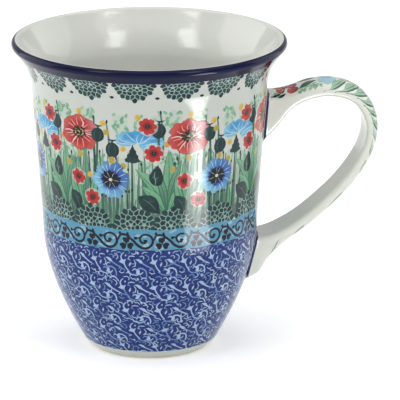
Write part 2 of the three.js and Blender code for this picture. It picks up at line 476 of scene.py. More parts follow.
def oval(x, y, rx, ry, turn=0.0, count=10, rng=None, rough=0.0):
    """A round shape, turned by degrees; rough gives its radius some unevenness."""
    angle = np.linspace(0, 2 * math.pi, count, endpoint=False)
    reach = np.ones(count)
    if rng:
        reach = np.array([1 + rng.uniform(-rough, rough) for _ in range(count)])
    px = rx * np.cos(angle) * reach
    py = ry * np.sin(angle) * reach
    c = math.cos(math.radians(turn))
    s = math.sin(math.radians(turn))
    return np.stack([x + px * c - py * s, y + px * s + py * c], -1)


def leaf(base, tip, width, bend=0.0, fullest=0.45, count=7):
    """A pointed leaf from base to tip, bowed sideways by the bend."""
    base = np.array(base, float)
    way = np.array(tip, float) - base
    side = np.array([-way[1], way[0]]) / np.linalg.norm(way)
    t = np.linspace(0, 1, count)[1:-1]
    power = math.log(0.5) / math.log(fullest)
    swell = np.sin(math.pi * t ** power) * width / 2
    middle = base + t[:, None] * way + (np.sin(math.pi * t) * bend)[:, None] * side
    left = middle + swell[:, None] * side
    right = middle - swell[:, None] * side
    return np.vstack([base[None], left, np.array(tip, float)[None], right[::-1]])


# ---- Pigments ----

UNDER_GLAZE = 0.74


def paint(red, green, blue):
    """A pigment as it looks under the glaze, which takes some of the light."""
    return rgb(red, green, blue) * UNDER_GLAZE


GLAZE_WHITE = rgb(185, 190, 184)
# painted light: the strap's and the slips' white is the cup's white glaze painted lighter, to make up for the
# shade the strap sits in
STRAP_WHITE_PAINTED_LIGHTER = rgb(213, 216, 207)
STAMP_GAP = paint(156, 190, 184)
LEAF_DARK = paint(20, 62, 62)
LEAF_DEEP = paint(10, 42, 46)
LEAF_MID = paint(52, 104, 86)
LEAF_GREY = paint(88, 122, 110)
LEAF_FRESH = paint(100, 170, 124)
LEAF_PALE = paint(138, 192, 154)
HAZE_GREEN = paint(134, 176, 152)
POPPY_RED = paint(192, 50, 46)
POPPY_LIGHT = paint(214, 88, 80)
POPPY_DEEP = paint(140, 26, 32)
# painted highlight: red washed pink, as glare on the glaze washes it; used on the right-hand lobe of each
# poppy and on one small flower of each repeat
POPPY_PINK_HIGHLIGHT = paint(222, 136, 146)
SCRATCH = paint(240, 222, 216)
NEAR_BLACK = paint(6, 10, 18)
POPPY_BROWN = paint(120, 74, 52)
POLLEN = paint(204, 186, 116)
POD_BLUE = paint(14, 38, 50)
SKY = paint(78, 170, 220)
SKY_PALE = paint(136, 204, 232)
SKY_DEEP = paint(40, 112, 192)
COBALT = paint(28, 72, 168)
STREAK = paint(206, 230, 240)
YELLOW = paint(232, 190, 70)
YELLOW_DEEP = paint(190, 168, 66)
ORANGE = paint(230, 160, 74)
SCROLL_BLUE = paint(92, 160, 190)
SCROLL_LILAC = paint(112, 150, 204)
SCROLL_INK = paint(2, 8, 36)
VINE_GROUND = paint(6, 42, 124)
VINE_DEEP = paint(8, 26, 92)
VINE_TEAL = paint(20, 62, 118)
VINE_WHITE = paint(180, 206, 234)
VINE_PALE = paint(120, 154, 200)
RIM_COBALT = rgb(9, 13, 44)
RIM_PALER = rgb(12, 17, 54)
LINER_GREY = rgb(192, 194, 188)
LINER_WHITE = rgb(204, 206, 199)
RECESS_CREAM = rgb(208, 206, 196)
RECESS_WHITE = rgb(226, 226, 218)
CLAY_GREY = rgb(196, 186, 170)
CLAY_PALE = rgb(222, 214, 200)
CLAY_STAIN = rgb(176, 160, 138)
SLIP_HALO = paint(150, 162, 214)
SLIP_COBALT = paint(10, 16, 70)


# ---- The cup's painted coat ----

REFERENCE_RADIUS = 43.5
SHEET_WIDTH = 2 * math.pi * REFERENCE_RADIUS
FRONT_ANGLE = math.degrees(CAMERA_AZIMUTH) - 90

# heights of the painted bands, in millimetres above the table
FOOT_BAND_EDGE = 3.75
VINE_EDGES = (3.3, 48.4)
SCROLL_EDGES = (48.2, 56.3)
SCROLL_LINE = 52.3
BUSH_LINE = 55.9
MEADOW_BASE = 58.0
SCALLOP_DOT_LINE = 107.6
SCALLOP_LINE = 113.9

coat_painting = Painting(SHEET_WIDTH, outside.length, GLAZE_WHITE)


def cup_brush(view_angle, height, **more):
    """A brush on the cup; the view angle is in degrees, rightwards from the side that faces the camera."""
    v = outside.at_height(height)
    u = math.radians((view_angle + FRONT_ANGLE) % 360) * REFERENCE_RADIUS
    return Brush(coat_painting, u, v, REFERENCE_RADIUS / float(outside.radius(v)), **more)


SEAM_OVERLAP = 3


def band_shape(low, high, low_wave=0.0, high_wave=0.0, waves=19, phase=0.0):
    """A shape right round the cup between two heights, with wavy edges."""
    us = np.linspace(-SEAM_OVERLAP, SHEET_WIDTH + SEAM_OVERLAP, waves * 8 + 1)
    swing = np.sin(us / SHEET_WIDTH * 2 * math.pi * waves + phase)
    bottom = outside.at_height(low) + low_wave * swing
    top = outside.at_height(high) + high_wave * swing
    return np.vstack([np.stack([us, bottom], -1), np.stack([us, top], -1)[::-1]])


def clipped(polygon, spot, way):
    """The part of a convex polygon that lies before the line through a spot, square to the way."""
    kept = []
    for first, second in zip(polygon, np.roll(polygon, -1, axis=0)):
        past_first = (first - spot) @ way
        past_second = (second - spot) @ way
        if past_first <= 0:
            kept.append(first)
        if past_first * past_second < 0:
            kept.append(first + (second - first) * past_first / (past_first - past_second))
    return np.array(kept)


CELL_LENGTH = 1.22
CELL_WIDTH = 0.92
CELL_GAP = 0.3
NEIGHBOUR_REACH = 2.6
MOUND_ROOT_DEPTH = 3.0
MOUND_FAN = 1.2


def packed_cells(centres, reaches):
    """Cells round the centres, parted by narrow gaps and drawn out from a mound's root."""
    centres = np.array(centres, float)
    cells = []
    for i, (centre, reach) in enumerate(zip(centres, reaches)):
        outward = math.degrees(math.atan2(centre[1] + MOUND_ROOT_DEPTH, centre[0] * MOUND_FAN))
        cell = oval(centre[0], centre[1], reach * CELL_LENGTH, reach * CELL_WIDTH, outward, 9)
        for k, other in enumerate(centres):
            apart = np.linalg.norm(other - centre)
            if k != i and apart < NEIGHBOUR_REACH * reach:
                way = (other - centre) / apart
                cell = clipped(cell, (centre + other) / 2 - way * CELL_GAP / 2, way)
        cells.append(cell)
    return cells


MOUND_LEAVES = [
    (-7.3, 0.9), (-5.4, -0.1), (-3.3, -0.5), (-1.0, -0.9), (1.3, -0.8), (3.5, -0.5), (5.6, 0.2), (7.2, 1.0),
    (-6.3, 2.6), (-3.9, 1.3), (-4.3, 3.3), (1.1, 1.2), (6.3, 2.8), (-5.9, 4.4), (-4.0, 5.2), (-2.2, 4.9),
    (-0.2, 4.6), (1.4, 3.4), (2.0, 5.2), (3.9, 5.0), (5.6, 4.6), (-3.2, 6.8), (-1.2, 6.6), (0.8, 6.9),
    (2.7, 6.7), (4.6, 6.2), (0.0, 8.0),
]
MOUND_FLOWERS = [(-1.2, 1.9), (3.7, 2.2)]
MOUND_PETALS = 5
LEAF_REACH = 1.3
PETAL_REACH = 0.85
EYE_REACH = 0.5


def mound_cells():
    """The leaf and petal cells of a mound, and the flowers' middles, which stay pale."""
    petals = []
    for x, y in MOUND_FLOWERS:
        for k in range(MOUND_PETALS):
            angle = math.radians(90 + 360 / MOUND_PETALS * k)
            petals.append((x + 1.15 * math.cos(angle), y + 1.05 * math.sin(angle)))
    centres = MOUND_LEAVES + petals + MOUND_FLOWERS
    reaches = [LEAF_REACH] * len(MOUND_LEAVES) + [PETAL_REACH] * len(petals)
    reaches += [EYE_REACH] * len(MOUND_FLOWERS)
    return packed_cells(centres, reaches)[:-len(MOUND_FLOWERS)]


MOUND_CELLS = mound_cells()
MOUND_BACK = [
    (-8.0, 0.4), (-6.9, 4.0), (-4.6, 6.9), (-1.4, 8.5), (1.6, 8.4), (4.6, 7.2), (6.9, 4.9), (8.0, 1.4),
    (6.4, -0.8), (3.2, -1.7), (0, -2.0), (-4.0, -1.5),
]


def leaf_mound(brush, rng):
    """A stamped mound of packed leaves with two small flowers, about 16 mm wide and 10 mm tall."""
    brush.fill(smooth(MOUND_BACK + MOUND_BACK[:1], 2)[:-1], STAMP_GAP, 0.8, 0.1)
    for cell in MOUND_CELLS:
        tone = LEAF_DARK if rng.random() < 0.7 else LEAF_DEEP
        brush.fill(cell, tone)


SCROLL_WAVE = [
    (-6.6, 1.4), (-4.4, -0.3), (-2.5, -2.3), (-0.3, -3.3), (1.8, -2.7), (2.9, -0.9), (2.5, 1.0), (1.2, 2.0),
    (-0.4, 2.1),
]
SCROLL_CURL = [(-0.4, 2.1), (-1.6, 1.3), (-1.8, 0.0), (-1.0, -1.1), (0.3, -1.1)]
SCROLL_LINK = [(2.8, -0.8), (3.6, 0.5), (4.3, 1.8), (5.8, 1.9), (7.4, 1.5)]
CLOVER_MIDDLE = (6.5, -1.6)
CLOVER_HEART = [
    (0.2, 0), (0.9, 1.1), (1.9, 1.35), (2.6, 0.8), (2.35, 0), (2.6, -0.8), (1.9, -1.35),
    (0.9, -1.1),
]


def scroll_unit(brush, rng):
    """One running spiral with a three-leaf clover beside it, 14.4 mm long."""
    brush.stroke(SCROLL_WAVE, [0.85, 1.05, 1.0, 0.95, 0.85, 0.75], SCROLL_INK)
    brush.stroke(SCROLL_CURL, [0.7, 0.85, 0.8], SCROLL_INK)
    brush.fill(oval(0.2, -0.4, 0.8, 0.65, 0, 9), SCROLL_INK)
    brush.stroke([(-3.3, 0.7), (-1.7, 1.0)], [0.6, 0.6], SCROLL_INK)
    brush.fill(oval(-3.4, 0.7, 0.75, 0.65, 0, 8), SCROLL_INK)
    brush.stroke(SCROLL_LINK, [0.6, 0.75, 0.9, 0.9], SCROLL_INK)
    brush.fill(oval(4.1, 2.5, 0.55, 0.6, 0, 7), SCROLL_INK)
    brush.fill(oval(6.9, 2.4, 0.5, 0.55, 20, 7), SCROLL_INK)
    for angle in (98, 212, 328):
        heart = brush.at(*CLOVER_MIDDLE, angle + rng.uniform(-6, 6))
        heart.fill(CLOVER_HEART, SCROLL_INK)
    brush.stroke([CLOVER_MIDDLE, (5.6, 0.2)], [0.5, 0.4], SCROLL_INK)


SCROLL_REPEATS = 19
SCROLL_START = -1.9
SCROLL_FLECKS = 230


def paint_scroll_band():
    coat_painting.add(band_shape(*SCROLL_EDGES, 0.12, 0.3, 17), SCROLL_BLUE)
    rng = random.Random(31)
    for _ in range(SCROLL_FLECKS):
        spot = cup_brush(rng.uniform(0, 360), rng.uniform(48.6, 56.0))
        tone = SCROLL_LILAC if rng.random() < 0.5 else STREAK
        spot.fill(oval(0, 0, rng.uniform(0.8, 2.0), rng.uniform(0.4, 1.0), rng.uniform(-30, 30), 7, rng, 0.2),
                  tone, 0.45)
    for k in range(SCROLL_REPEATS):
        angle = SCROLL_START + 360 / SCROLL_REPEATS * k
        scroll_unit(cup_brush(angle, SCROLL_LINE, scale=1.0 + 0.03 * math.sin(5 * k)), rng)


VINE_LINE = 0.7
# each stroke's points, then its widths
VINE_STROKES = [
    ([(-0.5, 0.9), (-0.8, 2.1), (-0.3, 3.2), (0.4, 3.9)], (0.85, 0.6, 0.5)),
    ([(0.3, -0.5), (1.2, -2.5), (2.4, -4.1)], (0.7, 0.7, 0.65)),
    ([(1.7, -4.0), (3.2, -5.2), (5.2, -5.6), (7.0, -5.0)], (0.55, 0.7, 0.7, 0.5)),
    ([(-4.7, -0.2), (-2.9, -1.4), (-1.1, -2.3)], (0.85, 0.75, 0.6)),
    ([(-1.7, -3.0), (-1.1, -2.3), (-0.6, -2.5)], (0.5, 0.7, 0.5)),
    ([(-8.0, -2.6), (-6.9, -3.3), (-5.9, -2.5), (-4.6, -2.5), (-3.4, -3.3), (-2.9, -4.7), (-3.0, -6.1)],
     (0.55, 1.0, 1.0, 0.9, 0.8, 0.65)),
    ([(-6.2, -4.9), (-5.1, -4.9), (-4.4, -4.1)], (0.7, 0.7, 0.5)),
    ([(-5.5, -5.6), (-4.9, -6.6), (-3.8, -6.6), (-2.9, -7.6), (-2.2, -8.6)], (0.5, 0.65, 0.8, 0.55)),
    ([(2.4, 2.3), (3.4, 2.6), (4.7, 2.4)], (0.5, 0.7, 0.4)),
    ([(2.4, 1.9), (2.1, 1.2), (2.9, 0.9)], (0.5, 0.55, 0.4)),
    ([(-3.4, 3.3), (-2.3, 2.7), (-2.0, 1.6), (-2.7, 0.8)], (0.45, 0.55, 0.4)),
    ([(4.4, 1.0), (5.1, -0.3), (4.8, -1.7), (3.9, -1.9)], (0.4, 0.6, 0.45)),
    ([(3.7, -3.5), (4.6, -2.7), (5.7, -3.2), (5.3, -4.2)], (0.45, 0.6, 0.5)),
    ([(0.7, 4.7), (1.9, 5.0), (2.8, 4.3), (2.5, 3.5)], (0.45, 0.55, 0.4)),
    ([(-4.7, 3.7), (-3.8, 4.4), (-2.6, 4.3)], (0.4, 0.6, 0.4)),
    ([(-5.5, 2.5), (-4.5, 2.8), (-3.9, 2.2), (-4.2, 1.5)], (0.45, 0.55, 0.4)),
    ([(-1.8, -4.2), (-0.8, -4.9), (0.3, -4.5)], (0.45, 0.6, 0.45)),
]
VINE_LEAVES = [
    [(-7.3, 1.3), (-6.0, 1.5), (-5.0, 1.0), (-4.2, -0.2), (-4.8, -0.5), (-5.8, 0.0), (-6.3, 0.6)],
    [(-7.3, -4.9), (-6.7, -3.9), (-6.7, -2.9), (-5.8, -3.0), (-5.6, -4.3), (-6.2, -5.1)],
    [(-1.7, -0.1), (-0.9, 0.6), (-0.5, 1.3), (0.3, 0.8), (1.4, 1.3), (0.8, 0.1), (0.7, -0.8), (-0.4, -0.7)],
    [(2.5, -1.9), (2.3, -1.0), (3.1, 0.3), (3.2, -0.9)],
    [(1.1, 2.2), (1.5, 2.8), (1.2, 3.2), (0.8, 2.7)],
    [(6.0, 3.2), (5.4, 3.9), (5.8, 4.6), (6.4, 4.0)],
]
VINE_HOOKS = [
    [(-1.3, 0.2), (-0.5, 0.9), (0.5, 0.5), (0.6, -0.4)],
    [(-1.2, -0.5), (-0.2, -0.7), (0.6, -0.1), (0.3, 0.8)],
    [(-1.4, 0.3), (-0.4, -0.3), (0.5, 0.1), (1.3, -0.4)],
    [(-0.4, -1.0), (-0.7, 0.0), (0.0, 0.7), (0.9, 0.6)],
]
HOOK_CLEARANCE = 0.82
HOOK_TRIES = 9000
HOOK_EDGES = (4.6, 47.6)
HOOK_TURNS = [-0.5, 0.0, 0.4, 2.8]
HOOK_SCALE = 0.95


def vine_hooks(rng, taken):
    """Small hooks wherever the stamped vine leaves a gap. Taken holds the sheet points already drawn on."""
    taken = np.array(taken)
    low, high = [outside.at_height(edge) for edge in HOOK_EDGES]
    for _ in range(HOOK_TRIES):
        spot = np.array([rng.uniform(0, SHEET_WIDTH), rng.uniform(low, high)])
        stretch = REFERENCE_RADIUS / float(outside.radius(spot[1]))
        gaps = np.abs(taken - spot)
        gaps[:, 0] = np.minimum(gaps[:, 0], SHEET_WIDTH - gaps[:, 0]) / stretch
        if np.min(np.hypot(gaps[:, 0], gaps[:, 1])) < HOOK_CLEARANCE:
            continue
        brush = Brush(coat_painting, spot[0], spot[1], stretch, rng.choice(HOOK_TURNS), HOOK_SCALE)
        path = np.array(rng.choice(VINE_HOOKS))
        tone = VINE_WHITE if rng.random() < 0.55 else VINE_PALE
        brush.stroke(path, [0.36, 0.52, 0.36], tone, 0.9, 0.45, 1)
        taken = np.vstack([taken, brush.place(path), spot[None]])


def vine_stamp(brush, rng):
    """One repeat of the stamped vine: stems, hooks, curls and leaves left pale on the cobalt."""
    for x, y in ((-3.0, 2.0), (4.5, -0.5), (-1.5, -4.4), (2.0, 3.0)):
        tone = VINE_DEEP if rng.random() < 0.6 else VINE_TEAL
        brush.fill(oval(x, y, 1.6, 1.2, rng.uniform(0, 90), 6, rng, 0.25), tone, 0.5)
    for outline in VINE_LEAVES:
        brush.fill(outline, VINE_WHITE, 0.95, 0.4)
    for path, widths in VINE_STROKES:
        tone = VINE_WHITE if rng.random() < 0.6 else VINE_PALE
        brush.stroke(path, [w * VINE_LINE for w in widths], tone, 0.95, 0.45, 1)
    drawn = VINE_LEAVES + [path for path, _ in VINE_STROKES]
    return [point for path in drawn for point in brush.place(smooth(path, 2))]


VINE_ROWS = [
    # repeats round the cup, view angle of one of them, height, size
    (22, 2.9, 43.4, 0.95),
    (20, 3.0, 32.8, 1.0),
    (18, 5.6, 22.8, 1.02),
    (16, -11.4, 13.7, 1.0),
    (14, 4.0, 6.2, 0.86),
]


def paint_vine_ground():
    coat_painting.add(band_shape(*VINE_EDGES, 0.12, 0.18, 44), VINE_GROUND)
    rng = random.Random(47)
    taken = []
    for repeats, start, height, size in VINE_ROWS:
        for k in range(repeats):
            angle = start + 360 / repeats * k + rng.uniform(-0.3, 0.3)
            spot = cup_brush(angle, height + rng.uniform(-0.12, 0.12), scale=size)
            taken += vine_stamp(spot, rng)
    vine_hooks(rng, taken)
    coat_painting.add(band_shape(-1, FOOT_BAND_EDGE, 0, 0.1, 37), GLAZE_WHITE, 1, 0)


SCALLOP_REPEATS = 17
SCALLOP_START = -6.2


def paint_scallops():
    """Leaf mounds hanging from the lip, with a dot between each two."""
    rng = random.Random(5)
    for k in range(SCALLOP_REPEATS):
        angle = SCALLOP_START + 360 / SCALLOP_REPEATS * k
        spot = cup_brush(angle + rng.uniform(-0.5, 0.5), SCALLOP_LINE, scale=0.98, turn=math.pi)
        leaf_mound(spot, rng)
        dot = cup_brush(angle - 180 / SCALLOP_REPEATS, SCALLOP_DOT_LINE)
        dot.fill(oval(0, 0, 0.85, 0.6, 0, 8), NEAR_BLACK)


# ---- The painted meadow ----

def small_flower(brush, reach, rng, tone=POPPY_RED, edge=POPPY_LIGHT):
    """A small red flower with a dark eye."""
    brush.fill(oval(0, 0, reach * 1.12, reach * 1.08, 0, 12, rng, 0.1), SCRATCH, 0.5, 0.2)
    petals = 7
    for k in range(petals):
        angle = 360 / petals * k + rng.uniform(-8, 8)
        petal = brush.at(0, 0, angle)
        middle = 0.6 * reach
        petal.fill(oval(middle, 0, 0.44 * reach, 0.36 * reach, 0, 8, rng, 0.12),
                   Fade(tone, edge if k % 3 == 1 else tone, (middle, 0), (reach, 0)))
    brush.fill(oval(0, 0, 0.5 * reach, 0.48 * reach, 0, 9, rng, 0.1), POPPY_DEEP, 0.9)
    brush.fill(oval(0, 0, 0.27 * reach, 0.25 * reach, 0, 8, rng, 0.1), NEAR_BLACK)
    brush.fill(oval(0.03, 0.03, 0.09 * reach, 0.09 * reach, 0, 5), LEAF_GREY)


def poppy(brush, rng):
    """The large flower: broad ragged petals, scratched white lines and a dark ring of anthers."""
    lobes = [(-3.2, 2.0, 3.6, 3.2, 30), (0.4, 3.4, 3.8, 2.8, 0), (4.0, 1.8, 3.3, 3.4, -25),
             (3.4, -2.5, 3.5, 3.2, 30), (-0.7, -3.6, 3.7, 2.8, -6), (-4.1, -1.6, 3.1, 2.9, -20)]
    shadows = [(-3.0, 0.9, 1.8, 1.3), (-0.4, -3.2, 2.2, 1.0), (3.2, -1.6, 1.2, 1.6), (0.4, 3.4, 1.8, 0.8)]
    for x, y, rx, ry, turn in lobes:
        brush.fill(oval(x, y * 1.06, rx + 0.3, ry + 0.4, turn, 17, rng, 0.13), POPPY_DEEP, 0.75)
    for k, (x, y, rx, ry, turn) in enumerate(lobes):
        # lobe 2, on the right, fades to a pink painted highlight in every poppy
        edge = POPPY_PINK_HIGHLIGHT if k == 2 else POPPY_LIGHT
        tone = Fade(POPPY_RED, edge, (x * 0.9, y * 0.9), (x * 1.8, y * 1.7))
        brush.fill(oval(x, y * 1.06, rx, ry + 0.2, turn, 22, rng, 0.15), tone, 0.95)
    for x, y, rx, ry in shadows:
        brush.fill(oval(x, y, rx, ry, rng.uniform(-40, 40), 9, rng, 0.25), POPPY_DEEP, 0.45)
    for angle in (4, 22, 40, 60, 96, 126, 150, 192, 214, 238, 262, 290, 318, 342):
        scratch = brush.at(0, 0, angle + rng.uniform(-5, 5))
        end = rng.uniform(4.4, 6.2)
        scratch.stroke([(2.6, 0), (3.6, rng.uniform(-0.3, 0.3)), (end, rng.uniform(-0.7, 0.7))],
                       [0.14, 0.26, 0.1], SCRATCH, 0.8, 0.3)
    for edge in ([(-6.6, -0.3), (-4.4, 0.2), (-2.4, -0.3)], [(1.0, 5.8), (2.0, 3.8), (1.7, 2.1)],
                 [(-3.4, -4.9), (-2.3, -3.2), (-1.2, -1.9)], [(6.1, -0.6), (4.1, -0.4), (2.5, -0.3)]):
        brush.stroke(edge, [0.2, 0.45, 0.25], SCRATCH, 0.95, 0.2)
    brush.fill(oval(0, 0.1, 2.7, 2.0, 0, 12, rng, 0.12), POPPY_BROWN, 0.85)
    brush.fill(oval(0.1, 0.1, 2.0, 1.35, 0, 10, rng, 0.12), POLLEN)
    for k in range(22):
        angle = math.radians(k * 360 / 11 + rng.uniform(-12, 12))
        reach = rng.uniform(0.92, 1.18) if k < 11 else rng.uniform(0.35, 0.62)
        x = 2.35 * reach * math.cos(angle)
        y = 0.1 + 1.85 * reach * math.sin(angle)
        brush.fill(oval(x, y, 0.6, 0.42, math.degrees(angle), 6), NEAR_BLACK)


def cornflower(brush, rng):
    """The large blue flower: many toothed petals round a near-black middle with a white dot."""
    petals = 22
    for k in range(petals):
        angle = 360 / petals * k + rng.uniform(-4, 4)
        reach = rng.uniform(6.2, 7.6)
        deep = 0.4 + 0.4 * math.cos(math.radians(angle - 35))
        tip = SKY_PALE * (1 - deep) + COBALT * deep
        inner = SKY_DEEP * (1 - deep) + COBALT * deep
        petal = brush.at(0, 0, angle)
        petal.fill([(1.5, 0.3), (3.6, 0.85), (reach - 0.5, 1.1), (reach, 0.5), (reach - 0.4, 0.1),
                    (reach + 0.1, -0.4), (reach - 0.5, -1.0), (3.6, -0.75), (1.5, -0.3)],
                   Fade(inner, tip, (2.6, 0), (5.2, 0)))
    brush.fill(oval(0, 0, 4.0, 3.7, 0, 14, rng, 0.14), COBALT, 0.6)
    for k in range(15):
        line = brush.at(0, 0, k * 24 + rng.uniform(-9, 9))
        tip = (rng.uniform(5.8, 7.0), rng.uniform(-0.3, 0.3))
        line.stroke([(3.6, 0), (4.9, 0.1), tip], [0.14, 0.28, 0.12], STREAK, 0.8, 0.4)
    jagged = []
    teeth = 13
    for k in range(teeth * 2):
        angle = math.pi * k / teeth
        reach = rng.uniform(3.6, 4.6) if k % 2 else rng.uniform(2.8, 3.3)
        jagged.append((reach * math.cos(angle), reach * 0.92 * math.sin(angle)))
    brush.fill(jagged, NEAR_BLACK)
    for k in range(7):
        line = brush.at(0, 0, k * 51 + rng.uniform(-12, 12))
        line.stroke([(1.2, 0), (2.3, 0.1), (3.2, 0)], [0.1, 0.18, 0.1], STREAK, 0.7, 0.4)
    brush.fill(oval(0, 0, 0.75, 0.66, 0, 8), GLAZE_WHITE, 1, 0)


FAN_LEFT = [
    (-1.0, -1.4), (-3.4, -2.2), (-6.0, -2.2), (-7.2, -1.6), (-7.8, -0.2), (-7.6, 1.4), (-6.6, 2.4),
    (-5.2, 2.8), (-4.2, 3.6), (-2.4, 3.4), (-1.0, 3.9), (0.4, 3.5), (1.4, 2.6), (0.4, 0.6),
]
FAN_RIGHT = [
    (0.2, -1.6), (1.0, -3.0), (2.4, -4.2), (4.4, -4.6), (6.4, -4.0), (7.8, -2.8), (9.0, -1.2),
    (8.4, 0.6), (7.0, 1.1), (6.0, 2.3), (4.2, 2.5), (2.6, 3.2), (0.6, 2.5), (-0.6, 0.6),
]
FAN_SHADOWS = [
    (-3.4, 1.6, 2.2, 1.2, 10), (2.6, 1.4, 1.8, 1.0, -30), (6.0, -0.2, 1.7, 0.9, 10),
    (-5.8, -0.4, 1.4, 0.8, 0), (3.6, -3.0, 1.5, 0.7, 10),
]
FAN_SCRATCHES = [
    [(0.2, -1.2), (-0.6, 0.4), (0.0, 2.2)],
    [(0.4, -1.4), (2.2, -0.6), (3.4, 0.6), (5.6, 1.0)],
    [(0.9, -2.0), (3.0, -1.7), (5.2, -1.0), (8.2, -1.0)],
    [(1.2, -2.8), (3.6, -2.6), (6.8, -2.2)],
    [(1.8, -3.6), (4.2, -3.6), (6.4, -3.3)],
    [(0.3, -1.4), (1.2, 0.4), (1.8, 2.0)],
    [(-1.0, -1.2), (-3.8, -0.7), (-6.0, 0.0), (-7.0, 1.2)],
    [(-1.6, -1.5), (-4.4, -1.4), (-7.2, -1.0)],
    [(-0.8, -0.6), (-2.4, 0.8), (-4.0, 2.6)],
    [(0.3, -1.2), (2.8, 0.2), (4.4, 1.9)],
]
TREE_CUP = [
    (0, 3.9), (0.7, 2.0), (1.3, 1.4), (1.3, 0.4), (2.1, -0.6), (2.0, -1.5), (2.9, -2.6), (1.6, -3.1),
    (0.4, -3.5),
    (-1.0, -3.2), (-2.6, -3.0), (-2.9, -2.0), (-2.0, -1.2), (-2.0, -0.2), (-1.2, 0.5), (-1.1, 1.6),
    (-0.6, 2.2),
]


def side_flower(brush, rng):
    """A blue flower seen from the side, as two waving fans."""
    brush.fill(smooth(FAN_LEFT, 2), Fade(SKY, SKY_PALE, (-1, 1), (-7, -1)))
    brush.fill(smooth(FAN_RIGHT, 2), Fade(SKY, SKY_PALE, (2.5, 2), (5, -4)))
    for x, y, rx, ry, turn in FAN_SHADOWS:
        brush.fill(oval(x, y, rx, ry, turn, 9, rng, 0.2), SKY_DEEP, 0.4)
    for line in FAN_SCRATCHES:
        brush.stroke(line, [0.16, 0.34, 0.18], STREAK, 0.85, 0.3)


def tree_cup(brush):
    """The dark cup under the side flower, shaped like a small fir."""
    brush.fill(TREE_CUP, Fade(LEAF_DEEP, LEAF_DARK, (0, 3), (0, -3)))
    brush.fill(leaf((0.1, -2.6), (0, 2.4), 1.1), LEAF_DEEP, 0.7)


def bud(brush, rng, size=1.0, stem=9.0):
    """A dark seed pod with a small crown, on a stem."""
    pod = brush.at(0, 0, rng.uniform(-8, 8), size)
    foot = (rng.uniform(-0.8, 0.8), -2.4 - stem)
    pod.stroke([(0, -2.4), (0.2, -2.4 - stem * 0.5), foot], [0.95, 0.8, 0.6], LEAF_MID)
    pod.fill(oval(0, 0, 2.6, 3.0, 0, 14, rng, 0.05), Fade(LEAF_DARK, POD_BLUE, (-2, 1), (2.4, -1)))
    pod.stroke([(-1.0, 1.8), (-1.4, 0), (-0.9, -1.9)], [0.3, 0.45, 0.3], LEAF_MID, 0.6)
    pod.stroke([(0.9, 1.9), (1.2, 0.1), (0.8, -1.9)], [0.2, 0.3, 0.2], LEAF_MID, 0.6)
    pod.stroke([(0, 2.4), (0, 3.8)], [0.8, 0.6], LEAF_DARK)
    crown = [(-1.6, 4.1), (-0.6, 3.8), (0, 3.7), (0.7, 3.8), (1.7, 4.1)]
    pod.stroke(crown, [0.35, 0.6, 0.75, 0.6, 0.35], LEAF_DARK)


def yellow_dot(brush, rng, tone=YELLOW):
    brush.fill(oval(0, 0, 1.5, 1.6, 0, 10, rng, 0.12), POLLEN, 0.55, 0.3)
    brush.fill(oval(0, 0, 1.15, 1.3, 0, 9, rng, 0.14), tone)
    brush.fill(oval(0.3, -0.3, 0.5, 0.55, 0, 6, rng, 0.2), YELLOW_DEEP, 0.5)


def sprig(brush, rng, leaves=14, spread=2.7):
    """A cloud of small light-green leaves on a pale wash."""
    brush.fill(oval(0, -0.6, spread * 1.1, spread * 1.3, 0, 12, rng, 0.25), LEAF_PALE, 0.2, 0.2)
    for k in range(leaves):
        x = rng.uniform(-spread, spread)
        y = rng.uniform(-spread, spread) * 1.15
        tone = LEAF_PALE if rng.random() < 0.55 else LEAF_FRESH
        turn = (55 if k % 2 else 125) + rng.uniform(-15, 15)
        brush.fill(oval(x, y, 0.95, 0.55, turn, 7, rng, 0.1), tone, 0.75)


DROP_LEAF = [
    (0.2, 4.1), (1.4, 2.7), (2.3, 0.6), (2.6, -1.6), (2.0, -3.4), (0.6, -4.0), (-0.9, -3.6), (-2.0, -2.4),
    (-2.5, -0.8), (-2.0, 0.9), (-1.0, 2.6),
]


def drop_leaf(brush):
    """A dark pointed leaf with pale veins."""
    brush.fill(smooth(DROP_LEAF + DROP_LEAF[:1], 2)[:-1], Fade(LEAF_DARK, LEAF_DEEP, (-2, 0), (2, 0)))
    midrib = [(-0.5, 1.4), (-0.6, -0.4), (0.0, -2.0), (-0.1, -3.6)]
    brush.stroke(midrib, [0.16, 0.32, 0.36, 0.2], HAZE_GREEN, 0.8, 0.4)
    brush.stroke([(-0.5, -0.5), (-1.3, -0.7)], [0.25, 0.15], HAZE_GREEN, 0.7, 0.4)
    brush.stroke([(0.0, -1.4), (0.9, -0.4)], [0.25, 0.15], HAZE_GREEN, 0.6, 0.4)


def low_leaf(brush):
    """A broad dark leaf lying low among the stems."""
    brush.fill(leaf((-4.2, 3.0), (3.8, -4.0), 6.4, 0.6), Fade(LEAF_DARK, LEAF_DEEP, (-3, 2), (3, -3)))
    brush.stroke([(-2.2, 1.8), (0.2, 0.1), (2.3, -2.4)], [0.2, 0.4, 0.2], LEAF_GREY, 0.8, 0.5)
    brush.stroke([(-0.6, 0.7), (0.6, 1.0), (1.6, 0.6)], [0.16, 0.26, 0.14], LEAF_GREY, 0.6, 0.5)


def grass(brush, rng, tone, height, width, lean):
    """One upright stroke that thins towards its tip."""
    bow = rng.uniform(-0.5, 0.5)
    path = [(0, 0), (lean * 0.3 + bow, height * 0.4), (lean * 0.6 + bow, height * 0.75), (lean, height)]
    brush.stroke(path, [width * 0.7, width, width * 0.8, width * 0.4], tone, 0.85, 1.0, 1)


